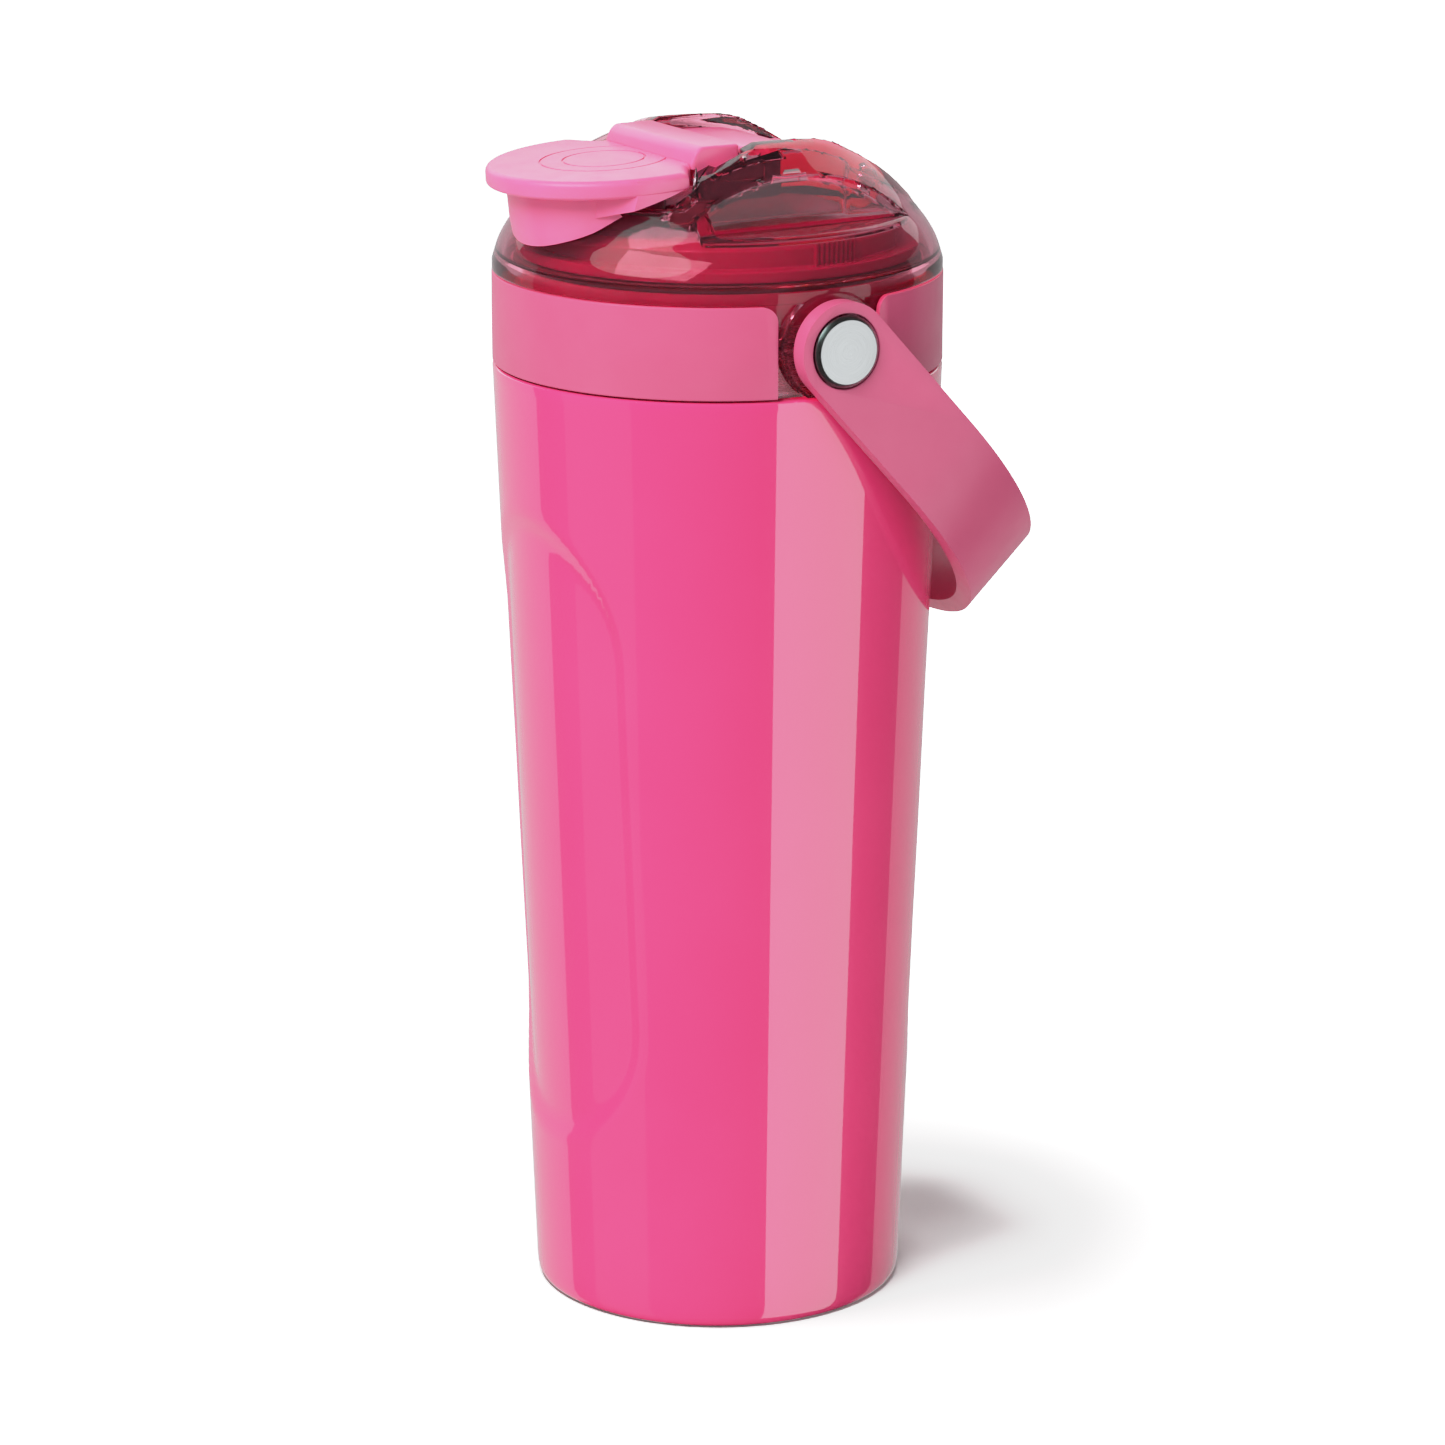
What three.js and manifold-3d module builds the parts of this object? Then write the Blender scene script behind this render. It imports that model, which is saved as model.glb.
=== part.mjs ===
// Protein shaker bottle: a double-wall steel body, a clear screw lid with a flip cap, and a swing handle.
// Millimetres, +Z up. The origin is the centre of the base, the spout faces -Y and the handle pivots about X.
import * as THREE from 'three';
import { mergeVertices } from 'three/addons/utils/BufferGeometryUtils.js';
import Module from 'manifold-3d';

const wasm = await Module();
wasm.setup();

// ---- Driving dimensions -------------------------------------------------------------------------
const GAP = 0.3; // air kept between neighbouring pieces
const ROUND = 48; // facets on the large round pieces
const SMALL_ROUND = 20; // facets on fasteners

// Steel body
const BASE_RADIUS = 37.25;
const TOP_RADIUS = 44.5;
const FOOT_HEIGHT = 3;
const SEAM_HEIGHT = 190.6;
const STEEL = 0.9;
const VACUUM_GAP = 2.4;
const LINER_FLOOR = 4.4;
const NECK_RADIUS = 38.4;
const NECK_RIM = 209.3;
const WALL_ROWS = 12; // rows of facets up the body's wall, which carry the recesses

// Long thumb recesses pressed into the front and the back of the body
const RECESS = { low: 35, high: 164, halfWidth: 27, depth: 1.3, edge: 5 };

// Two-start thread between the neck and the lid
const THREAD = { starts: 2, lead: 8, sweep: 270, steps: 24, neckBase: 194.6, lidBase: 196.6 };

// Lid
const LID_BOTTOM = 191;
const LID_INNER = 40.4;
const LID_WALL = 43;
const COLLAR_TOP = 208.9;
const DOME_RADIUS = 44.4;
const DOME_SKIN = 2.2;
const DOME_ARC = [[44.4, 211], [43.2, 214.7], [41.5, 217.8], [39.3, 220.7], [36.6, 224.4], [32.3, 228.8],
  [26.6, 233], [21.2, 236], [10, 236.6], [0, 236.8]];
const SLOT_HALF = 18;
const SLOT_FLOOR = 221.1;
const EAR_SKIN = 2.4;
const SCOOP = { x: 29.3, z: 221.3, skin: 1.5 };
const EAR_SLOPE = { y: -22.2, z: 228.7, angle: 0.375 };

// Spout, flip cap and lock
const SPOUT = { y: -22, bore: 7, outer: 9.2, rim: 226.3 };
const PLATE = { y: -23.8, radius: 24.4, thickness: 3.6, rear: -13, top: 232.9, tilt: 0.06 };
const SKIRT = { radius: 21.8, foot: 20, skin: 2.2, rear: { y: -32.1, z: 224.8, angle: 0.72 } };
const HINGE = { y: 21, z: 226.1, pin: 1.6, knuckle: 4.6, half: 17.5 };
const HUMP = { front: -15.6, rear: -5, top: 236, floor: 231.8, half: 17.5, legInner: 15.2, legFoot: 229.2 };
const LUG = { front: -11.5, rear: -8, reach: 20.3, top: 231.4 };
const LOCK_TRAVEL = 5.5;

// Handle and its pivots
const PIVOT_HEIGHT = 200.4;
const HANDLE = { outer: 49.6, inner: 45.9, width: 19, arm: 31, hang: THREE.MathUtils.degToRad(47.4) };
const WINDOW = { half: 11.2, corner: 3 };
const BOSS = { radius: 10.8, face: 44.7 };

// ---- Finishes -----------------------------------------------------------------------------------
const finish = (color, roughness, metalness, extra = {}) =>
  new THREE.MeshStandardMaterial({ color, roughness, metalness, ...extra });
const GLOSS_PINK = finish(0xec5890, 0.15, 0.1);
const SATIN_PINK = finish(0xe06a92, 0.4, 0);
const CAP_PINK = finish(0xee7fb2, 0.3, 0);
const CLEAR_CRIMSON = finish(0xb01830, 0.05, 0, { transparent: true, opacity: 0.45 });
const STEEL_FINISH = finish(0xc8c8c8, 0.3, 1);
const BRASS = finish(0xb89050, 0.4, 1);
const SILICONE = finish(0x5a1422, 0.7, 0);
const ACETAL = finish(0xe8e4e0, 0.5, 0);

// ---- Solids -------------------------------------------------------------------------------------
/** Turns a closed three.js geometry into a solid whose faces point outwards. */
function solid(geometry) {
  const bare = geometry.clone();
  bare.deleteAttribute('normal');
  bare.deleteAttribute('uv');
  const merged = mergeVertices(bare, 1e-4);
  const position = merged.attributes.position;
  const corner = [new THREE.Vector3(), new THREE.Vector3(), new THREE.Vector3()];
  const triangles = [];
  let volume = 0;
  for (let i = 0; i < merged.index.count; i += 3) {
    const ids = [0, 1, 2].map((k) => merged.index.getX(i + k));
    if (new Set(ids).size < 3) continue;
    ids.forEach((id, k) => corner[k].fromBufferAttribute(position, id));
    volume += corner[0].dot(corner[1].clone().cross(corner[2]));
    triangles.push(ids);
  }
  if (volume < 0) triangles.forEach((ids) => ids.reverse());
  const triVerts = new Uint32Array(triangles.flat());
  return new wasm.Manifold(new wasm.Mesh({ numProp: 3, vertProperties: position.array, triVerts }));
}

/** A named part of the scene from a solid. */
function part(name, body, material) {
  const mesh = body.getMesh();
  const geometry = new THREE.BufferGeometry();
  geometry.setAttribute('position', new THREE.BufferAttribute(mesh.vertProperties, 3));
  geometry.setIndex(new THREE.BufferAttribute(mesh.triVerts, 1));
  const node = new THREE.Mesh(geometry, material);
  node.name = name;
  return node;
}

const joined = (...bodies) => bodies.reduce((all, body) => all.add(body));

/** Turns a [radius, height] profile about Z. A profile off the axis is closed on itself. */
function turned(profile, facets = ROUND) {
  const closed = profile[0][0] > 0 ? [...profile, profile[0]] : profile;
  const points = closed.map(([radius, height]) => new THREE.Vector2(radius, height));
  return new THREE.LatheGeometry(points, facets).rotateX(Math.PI / 2);
}

/** The same about X, on the right-hand side (+1) or the left-hand side (-1), at the pivot height. */
function turnedOnPivot(profile, side, facets = SMALL_ROUND) {
  return turned(profile, facets).rotateY(side * Math.PI / 2).translate(0, 0, PIVOT_HEIGHT);
}

function block([x0, x1], [y0, y1], [z0, z1]) {
  const box = new THREE.BoxGeometry(x1 - x0, y1 - y0, z1 - z0);
  return box.translate((x0 + x1) / 2, (y0 + y1) / 2, (z0 + z1) / 2);
}

/** The same block on the right and, mirrored, on the left. */
function blocksOnBothSides([x0, x1], y, z) {
  return joined(solid(block([x0, x1], y, z)), solid(block([-x1, -x0], y, z)));
}

const prism = (shape, low, high, curveSegments = 12) =>
  new THREE.ExtrudeGeometry(shape, { depth: high - low, bevelEnabled: false, curveSegments })
    .translate(0, 0, low);

/** Moves each point of an open profile sideways, to its right as it is walked. */
function offset(points, distance) {
  return points.map(([r, z], i) => {
    const before = points[Math.max(i - 1, 0)];
    const after = points[Math.min(i + 1, points.length - 1)];
    const along = new THREE.Vector2(after[0] - before[0], after[1] - before[1]).normalize();
    return [Math.max(r + along.y * distance, 0), z - along.x * distance];
  });
}

/** A ridge of trapezoid section that climbs round the Z axis. The section's points are [radius, height]. */
function helicalRidge(section, base, startAngle) {
  const positions = [];
  const index = [];
  const sides = section.length;
  for (let step = 0; step <= THREAD.steps; step += 1) {
    const turn = (step / THREAD.steps) * THREE.MathUtils.degToRad(THREAD.sweep);
    const rise = THREAD.lead * turn / (2 * Math.PI);
    section.forEach(([radius, height]) => positions.push(
      radius * Math.cos(startAngle + turn), radius * Math.sin(startAngle + turn), base + height + rise));
  }
  for (let step = 0; step < THREAD.steps; step += 1) {
    for (let side = 0; side < sides; side += 1) {
      const a = step * sides + side;
      const b = step * sides + (side + 1) % sides;
      index.push(a, b, b + sides, a, b + sides, a + sides);
    }
  }
  const last = THREAD.steps * sides;
  for (let side = 1; side < sides - 1; side += 1) {
    index.push(0, side + 1, side, last, last + side, last + side + 1);
  }
  const geometry = new THREE.BufferGeometry();
  geometry.setAttribute('position', new THREE.Float32BufferAttribute(positions, 3));
  geometry.setIndex(index);
  return solid(geometry);
}

function thread(section, base) {
  const ridges = [];
  for (let start = 0; start < THREAD.starts; start += 1) {
    ridges.push(helicalRidge(section, base, start * 2 * Math.PI / THREAD.starts));
  }
  return joined(...ridges);
}

// ---- Body ---------------------------------------------------------------------------------------
/** Outer radius of the tapered body at a height. */
function wallRadius(z) {
  return BASE_RADIUS + (TOP_RADIUS - BASE_RADIUS) * (z - FOOT_HEIGHT) / (SEAM_HEIGHT - FOOT_HEIGHT);
}

/** Points up the tapered wall, inset from its outer face. */
function wallPoints(inset, low, high, rows = WALL_ROWS) {
  return Array.from({ length: rows }, (_, row) => {
    const z = low + (high - low) * row / (rows - 1);
    return [wallRadius(z) - inset, z];
  });
}

/** How deep the recesses reach at a point: a pill shape that fades out at its edge. */
function recessDepth(x, y, z) {
  const across = Math.atan2(Math.abs(x), Math.abs(y)) * Math.hypot(x, y);
  const low = RECESS.low + RECESS.halfWidth;
  const high = RECESS.high - RECESS.halfWidth;
  const away = Math.hypot(across, z - THREE.MathUtils.clamp(z, low, high));
  const fade = THREE.MathUtils.smoothstep(away, RECESS.halfWidth - RECESS.edge, RECESS.halfWidth);
  return RECESS.depth * (1 - fade);
}

function pressRecesses(geometry) {
  const position = geometry.attributes.position;
  for (let i = 0; i < position.count; i += 1) {
    const [x, y, z] = [position.getX(i), position.getY(i), position.getZ(i)];
    const radius = Math.hypot(x, y);
    const scale = radius > 0 ? (radius - recessDepth(x, y, z)) / radius : 1;
    position.setXY(i, x * scale, y * scale);
  }
  return geometry;
}

function outerShell() {
  const baseHole = 33;
  const shoulderHole = NECK_RADIUS + GAP;
  const profile = [
    [baseHole, 0], [35.6, 0], [36.7, 0.5], [37.1, 1.4],
    ...wallPoints(0, FOOT_HEIGHT, SEAM_HEIGHT - 0.5),
    [TOP_RADIUS - 0.5, SEAM_HEIGHT], [shoulderHole, SEAM_HEIGHT], [shoulderHole, SEAM_HEIGHT - STEEL],
    ...wallPoints(STEEL, FOOT_HEIGHT, SEAM_HEIGHT - STEEL - 0.4).reverse(),
    [35.8, STEEL + 0.3], [baseHole, STEEL],
  ];
  return part('outer_shell', solid(pressRecesses(turned(profile))), GLOSS_PINK);
}

function basePlate() {
  const radius = 33 - GAP;
  const profile = [[0, 0], [radius, 0], [radius, STEEL], [28, STEEL], [26, 1.7], [0, 1.7]];
  return part('base_plate', solid(turned(profile)), STEEL_FINISH);
}

function getter() {
  const profile = [[0, 2], [6, 2], [6, 3.4], [0, 3.4]];
  return part('getter', solid(turned(profile, SMALL_ROUND).translate(14, 0, 0)), STEEL_FINISH);
}

function innerLiner() {
  const inset = STEEL + VACUUM_GAP;
  const outer = wallPoints(inset, 12, 182, 2);
  const inner = outer.map(([r, z]) => [r - STEEL, z]).reverse();
  const profile = [
    [0, LINER_FLOOR], [28, LINER_FLOOR], [32.4, 7], ...outer,
    [NECK_RADIUS, 187], [NECK_RADIUS, NECK_RIM], [NECK_RADIUS - 1, NECK_RIM], [NECK_RADIUS - 1, 187.4],
    ...inner, [31.6, 7.6], [27.6, LINER_FLOOR + STEEL], [0, LINER_FLOOR + STEEL],
  ];
  const ridge = [[NECK_RADIUS - 0.4, -1.2], [NECK_RADIUS + 1.1, -0.5], [NECK_RADIUS + 1.1, 0.5],
    [NECK_RADIUS - 0.4, 1.2]];
  const body = solid(turned(profile)).add(thread(ridge, THREAD.neckBase));
  return part('inner_liner', body, STEEL_FINISH);
}

// ---- Lid ----------------------------------------------------------------------------------------
/** The dome as one full solid, offset from its outer face. */
function domeSolid(distance) {
  const arc = offset(DOME_ARC, distance);
  const top = arc[arc.length - 1][1];
  const wall = DOME_RADIUS + distance;
  return solid(turned([[0, LID_BOTTOM], [wall, LID_BOTTOM], [wall, COLLAR_TOP + GAP], ...arc.slice(0, -1),
    [0, top]]));
}

/** Outline of the flip cap's top plate in plan: a disc whose rear narrows to pass between the ears. */
function plateOutline(grow) {
  const radius = PLATE.radius + grow;
  const half = HUMP.half + grow;
  const shoulder = Math.asin(3.8 / radius);
  const tangent = [radius * Math.cos(shoulder), PLATE.y + 3.8];
  const shape = new THREE.Shape();
  shape.moveTo(half, PLATE.rear + grow);
  shape.lineTo(-half, PLATE.rear + grow);
  shape.lineTo(-half, -16.2 + grow);
  shape.quadraticCurveTo(-half - 3, -17 + grow, -tangent[0], tangent[1]);
  shape.absarc(0, PLATE.y, radius, Math.PI - shoulder, 2 * Math.PI + shoulder, false);
  shape.quadraticCurveTo(half + 3, -17 + grow, half, -16.2 + grow);
  return shape;
}

/** What is stepped out of each side of the dome, grown by a distance: an upright wall over a flat shelf. */
function sideSteps(grow) {
  return blocksOnBothSides([SCOOP.x - grow, 60], [-60, 60], [SCOOP.z - grow, 245]);
}

/** Everything above the slope that lowers the front of the ears. */
function aboveEarSlope() {
  return solid(block([-60, 60], [-40, 80], [0, 40]).rotateX(EAR_SLOPE.angle).translate(0, EAR_SLOPE.y, EAR_SLOPE.z));
}

const overSpout = (radius, low, high, facets = ROUND) =>
  turned([[0, low], [radius, low], [radius, high], [0, high]], facets).translate(0, SPOUT.y, 0);

/** Channels in the ears that the lock's lugs lift through, each with a roofed pocket behind it. */
function lugChannels() {
  const x = [SLOT_HALF - 1, LUG.reach + 0.4];
  const low = HUMP.legFoot - 0.4;
  const roofEdge = -5.9;
  return joined(
    blocksOnBothSides(x, [LUG.front - 0.5, roofEdge], [low, 245]),
    blocksOnBothSides(x, [roofEdge - 1, LUG.rear + LOCK_TRAVEL + 0.9], [low, LUG.top + 0.4]),
  );
}

function pivotBosses() {
  return joined(...[-1, 1].map((side) => {
    const profile = [[0, LID_WALL - 1.6], [BOSS.radius, LID_WALL - 1.6], [BOSS.radius, BOSS.face - 0.5],
      [BOSS.radius - 0.5, BOSS.face], [0, BOSS.face]];
    return solid(turnedOnPivot(profile, side, 32));
  }));
}

function pivotBores(radius, depth) {
  return joined(...[-1, 1].map((side) => solid(
    turnedOnPivot([[0, depth], [radius, depth], [radius, BOSS.face + 1], [0, BOSS.face + 1]], side))));
}

function lidShell() {
  const outer = domeSolid(0);
  const earSpan = [-22, 40];
  const ears = joined(
    blocksOnBothSides([SLOT_HALF - 1, SLOT_HALF + EAR_SKIN], earSpan, [SLOT_FLOOR, 245]),
    blocksOnBothSides([SLOT_HALF - 1, LUG.reach + 2.6], [LUG.front - 2.6, 1], [LUG.top - 5, 245]),
    blocksOnBothSides([SLOT_HALF - 1, SLOT_HALF + 4.4], [HINGE.y - 5, HINGE.y + 5], [SLOT_FLOOR, 245]),
  ).intersect(outer);
  const stepBehindCollar = solid(turned([[LID_WALL, LID_BOTTOM - 1], [50, LID_BOTTOM - 1],
    [50, COLLAR_TOP + GAP], [LID_WALL, COLLAR_TOP + GAP]]));
  const hollow = domeSolid(-DOME_SKIN).subtract(sideSteps(SCOOP.skin))
    .subtract(solid(turned([[LID_INNER, LID_BOTTOM - 2], [60, LID_BOTTOM - 2], [60, 212], [LID_INNER, 212]])));
  const mouth = solid(turned([[0, LID_BOTTOM - 2], [LID_INNER, LID_BOTTOM - 2], [LID_INNER, 200], [0, 200]]));
  const belowLid = solid(block([-60, 60], [-60, 60], [180, LID_BOTTOM]));
  const slot = solid(block([-SLOT_HALF, SLOT_HALF], [SPOUT.y, 60], [SLOT_FLOOR, 245]));
  const pin = solid(turned([[0, -HINGE.pin - 18.7], [HINGE.pin + GAP, -HINGE.pin - 18.7],
    [HINGE.pin + GAP, HINGE.pin + 18.7], [0, HINGE.pin + 18.7]], SMALL_ROUND)
    .rotateY(Math.PI / 2).translate(0, HINGE.y, HINGE.z));
  const ridge = [[LID_INNER + 0.4, -1.2], [LID_INNER - 1.4, -0.5], [LID_INNER - 1.4, 0.5],
    [LID_INNER + 0.4, 1.2]];
  const body = outer.subtract(stepBehindCollar).add(pivotBosses()).subtract(belowLid)
    .subtract(hollow).subtract(mouth).add(ears)
    .subtract(sideSteps(0)).subtract(aboveEarSlope()).subtract(slot).subtract(lugChannels())
    .subtract(solid(prism(plateOutline(0.6), 225.6, 245)))
    .subtract(solid(overSpout(17.5, 205, 245)))
    .subtract(pin).subtract(pivotBores(3.3, 41.4))
    .add(thread(ridge, THREAD.lidBase));
  return part('lid_shell', body, CLEAR_CRIMSON);
}

/** The inner half of the lid: a plug for the neck, a flange over its rim and the spout. */
function lidCore() {
  const profile = [
    [0, 217.2], [33.4, 217.2], [33.8, 203], [36.9, 203], [36.9, 212.5], [39.4, 212.5], [39.4, 214.6],
    [36, 214.6], [36, 217.8], [34.6, 219.4], [0, 219.4],
  ];
  const spout = solid(overSpout(SPOUT.outer, 218, SPOUT.rim, 32));
  const body = solid(turned(profile)).add(spout).subtract(solid(overSpout(SPOUT.bore, 210, 240, 32)));
  return part('lid_core', body, finish(0x9a1228, 0.3, 0));
}

function lidGasket() {
  const profile = [[37.3, 209.6], [39.6, 209.6], [40, 210.4], [40, 211.6], [39.6, 212.2], [37.3, 212.2]];
  return part('lid_gasket', solid(turned(profile)), SILICONE);
}

/** The two halves of the collar, with a window over each pivot. */
function collars() {
  const low = LID_BOTTOM;
  const band = solid(turned([[LID_WALL + GAP, low], [TOP_RADIUS, low], [TOP_RADIUS, COLLAR_TOP - 0.4],
    [TOP_RADIUS - 0.4, COLLAR_TOP], [LID_WALL + GAP, COLLAR_TOP]]));
  const { half, corner } = WINDOW;
  const shape = new THREE.Shape();
  shape.moveTo(-half, low - 1);
  shape.lineTo(half, low - 1);
  shape.lineTo(half, COLLAR_TOP - corner);
  shape.absarc(half + corner, COLLAR_TOP - corner, corner, Math.PI, Math.PI / 2, true);
  shape.lineTo(half + corner, COLLAR_TOP + 1);
  shape.lineTo(-half - corner, COLLAR_TOP + 1);
  shape.lineTo(-half - corner, COLLAR_TOP);
  shape.absarc(-half - corner, COLLAR_TOP - corner, corner, Math.PI / 2, 0, true);
  const window = solid(new THREE.ExtrudeGeometry(shape, { depth: 120, bevelEnabled: false, curveSegments: 6 })
    .translate(0, 0, -60).rotateX(Math.PI / 2).rotateZ(Math.PI / 2));
  const cut = band.subtract(window);
  const front = solid(block([-60, 60], [-60, 0], [180, 220]));
  return [
    part('collar_front', cut.intersect(front), SATIN_PINK),
    part('collar_back', cut.subtract(front), SATIN_PINK),
  ];
}

// ---- Flip cap -----------------------------------------------------------------------------------
function flipCap() {
  const thick = PLATE.thickness;
  const plate = solid(prism(plateOutline(0), -thick, 0, 16)
    .translate(0, -HUMP.front, 0).rotateX(PLATE.tilt).translate(0, HUMP.front, PLATE.top));
  const { radius, foot, skin, rear } = SKIRT;
  const skirt = solid(turned([[foot, 215], [radius, 221], [radius, 230.5], [radius - skin, 230.5],
    [radius - skin, 221], [foot - 1.8, 215]]).translate(0, SPOUT.y, 0))
    .subtract(solid(block([-40, 40], [0, 80], [-80, 0]).rotateX(rear.angle).translate(0, rear.y, rear.z)));
  const tunnel = [HUMP.front - 0.3, HUMP.rear + LOCK_TRAVEL + GAP];
  const rail = solid(block([-HUMP.legInner + 0.4, HUMP.legInner - 0.4], [-17, tunnel[1] + 1], [228.2, 231.5]));
  const side = new THREE.Shape();
  side.moveTo(tunnel[1], 228.2);
  side.lineTo(HINGE.y, HINGE.z - HINGE.knuckle);
  side.absarc(HINGE.y, HINGE.z, HINGE.knuckle, -Math.PI / 2, Math.PI * 0.36, false);
  side.quadraticCurveTo(16, 231.6, 9, 233.5);
  side.lineTo(tunnel[1], 233.7);
  const arm = solid(new THREE.ExtrudeGeometry(side, { depth: 2 * HINGE.half, bevelEnabled: false,
    curveSegments: 12 }).translate(0, 0, -HINGE.half).rotateX(Math.PI / 2).rotateZ(Math.PI / 2));
  const bore = solid(turned([[0, -30], [HINGE.pin + GAP, -30], [HINGE.pin + GAP, 30], [0, 30]], SMALL_ROUND)
    .rotateY(Math.PI / 2).translate(0, HINGE.y, HINGE.z));
  const humpRoom = solid(block([-20, 20], tunnel, [231.5, 240]))
    .add(blocksOnBothSides([HUMP.legInner - 0.4, 20], tunnel, [HUMP.legFoot - GAP, 240]));
  const body = plate.add(skirt.subtract(domeSolid(0.4))).subtract(humpRoom)
    .add(rail).add(arm).subtract(bore);
  return part('flip_cap', body, CAP_PINK);
}

function spoutSeal() {
  const profile = [[0, 224.4], [6, 224.4], [6.5, 225.6], [6.5, 226.6], [10.6, 226.6], [10.6, 227.8], [0, 227.8]];
  return part('spout_seal', solid(turned(profile, 28).translate(0, SPOUT.y, 0)), SILICONE);
}

/** The sliding lock: a bar across the cap's arm with a leg and a lug on each side. */
function lockSlide() {
  const { front, rear, top, floor, half, legInner, legFoot } = HUMP;
  const side = new THREE.Shape();
  side.moveTo(front, floor);
  side.lineTo(rear, floor);
  side.lineTo(rear, top - 0.8);
  side.lineTo(rear - 0.8, top);
  side.lineTo(front + 2.6, top);
  side.lineTo(front + 1.6, top - 0.6);
  side.lineTo(front, 232.6);
  const bar = solid(new THREE.ExtrudeGeometry(side, { depth: 2 * half, bevelEnabled: false })
    .translate(0, 0, -half).rotateX(Math.PI / 2).rotateZ(Math.PI / 2));
  const legs = blocksOnBothSides([legInner, half], [front + 1, rear], [legFoot, floor + 1]);
  const lugs = blocksOnBothSides([half - 1, LUG.reach], [LUG.front, LUG.rear], [legFoot, LUG.top]);
  return part('lock_slide', joined(bar, legs, lugs), CAP_PINK);
}

function hingePin() {
  const half = 20;
  const profile = [[0, -half], [HINGE.pin, -half], [HINGE.pin, half], [0, half]];
  const geometry = turned(profile, SMALL_ROUND).rotateY(Math.PI / 2).translate(0, HINGE.y, HINGE.z);
  return part('hinge_pin', solid(geometry), STEEL_FINISH);
}

// ---- Handle -------------------------------------------------------------------------------------
/** The U-shaped strap, drawn straight out along +Y from its pivot axis and hung down at its rest angle. */
function handle() {
  const { outer, inner, width, arm } = HANDLE;
  const eye = width / 2;
  const outline = new THREE.Shape();
  outline.moveTo(outer, -eye);
  outline.lineTo(outer, arm);
  outline.absarc(0, arm, outer, 0, Math.PI, false);
  outline.lineTo(-outer, -eye);
  outline.lineTo(-inner, -eye);
  outline.lineTo(-inner, arm);
  outline.absarc(0, arm, inner, Math.PI, 0, true);
  outline.lineTo(inner, -eye);
  const strap = solid(prism(outline, -eye, eye, 20));
  const endRound = new THREE.Shape();
  endRound.absarc(0, 0, eye, Math.PI / 2, 3 * Math.PI / 2, false);
  endRound.lineTo(200, -eye);
  endRound.lineTo(200, eye);
  const eyeEnds = solid(new THREE.ExtrudeGeometry(endRound, { depth: 140, bevelEnabled: false, curveSegments: 12 })
    .translate(0, 0, -70).rotateX(Math.PI / 2).rotateZ(Math.PI / 2));
  const bores = joined(...[-1, 1].map((side) => solid(
    turned([[0, 40], [4.3, 40], [4.3, 47.6], [7.3, 47.6], [7.3, 55], [0, 55]], 28).rotateY(side * Math.PI / 2))));
  const node = part('handle', strap.intersect(eyeEnds).subtract(bores), SATIN_PINK);
  node.position.set(0, 0, PIVOT_HEIGHT);
  node.rotation.set(-HANDLE.hang, 0, 0);
  return node;
}

/** The fittings of one pivot, from the lid outwards: insert, screw, washer, bush and button cap. */
function pivotFittings(side) {
  const suffix = side > 0 ? 'right' : 'left';
  const fitting = (name, profile, material, facets) =>
    part(`${name}_${suffix}`, solid(turnedOnPivot(profile, side, facets)), material);
  return [
    fitting('pivot_insert', [[2.35, 41.8], [3, 41.8], [3, 44.5], [2.35, 44.5]], BRASS),
    fitting('pivot_screw', [[0, 42.2], [2, 42.2], [2, 47.9], [5.6, 47.9], [5.6, 48.7], [0, 48.7]], STEEL_FINISH),
    fitting('pivot_washer', [[2.4, 45], [8, 45], [8, 45.6], [2.4, 45.6]], ACETAL, 28),
    fitting('pivot_bush', [[2.3, 45.9], [4, 45.9], [4, 47.5], [2.3, 47.5]], ACETAL),
    fitting('pivot_cap', [[0, 49], [7, 49], [7, 49.9], [6.2, 50.5], [0, 50.5]], STEEL_FINISH, 32),
  ];
}

// ---- Mixing grid --------------------------------------------------------------------------------
function agitator() {
  const [low, high] = [203.4, 206.4];
  const ring = (inner, outer) => solid(turned([[inner, low], [outer, low], [outer, high], [inner, high]], 24));
  const spokes = Array.from({ length: 6 }, (_, i) => solid(
    block([11, 32.4], [-0.8, 0.8], [low + 0.4, high - 0.4]).rotateZ(i * Math.PI / 3)));
  const shortSpokes = Array.from({ length: 6 }, (_, i) => solid(
    block([20.6, 32.4], [-0.7, 0.7], [low + 0.4, high - 0.4]).rotateZ((i + 0.5) * Math.PI / 3)));
  const body = joined(ring(31.6, 33.2), ring(20, 21.4), ring(10, 11.6), ...spokes, ...shortSpokes);
  return part('agitator', body, ACETAL);
}

// ---- Assembly -----------------------------------------------------------------------------------
const bottle = new THREE.Group();
bottle.add(outerShell(), basePlate(), getter(), innerLiner());

const lid = new THREE.Group();
lid.add(lidShell(), lidCore(), lidGasket(), ...collars(), hingePin(), agitator());
lid.add(...pivotFittings(1), ...pivotFittings(-1));

const cap = new THREE.Group();
cap.add(flipCap(), spoutSeal(), lockSlide());

const shaker = new THREE.Group();
shaker.add(bottle, lid, cap, handle());

export default shaker;
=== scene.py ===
# %% [markdown]
# # A protein shaker bottle, piece by piece
# The bottle has a painted steel body, a clear screw lid inside a pink collar, a flip cap with
# a sliding lock, and a strap handle on two steel pivots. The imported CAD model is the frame:
# it says where each piece is and what it moves with. Blender adds the rounded edges, the
# fine facets and the finishes that make it look real.

# %% Load the frame
import math

import bmesh
import bpy
from mathutils import Matrix, Vector


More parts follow.
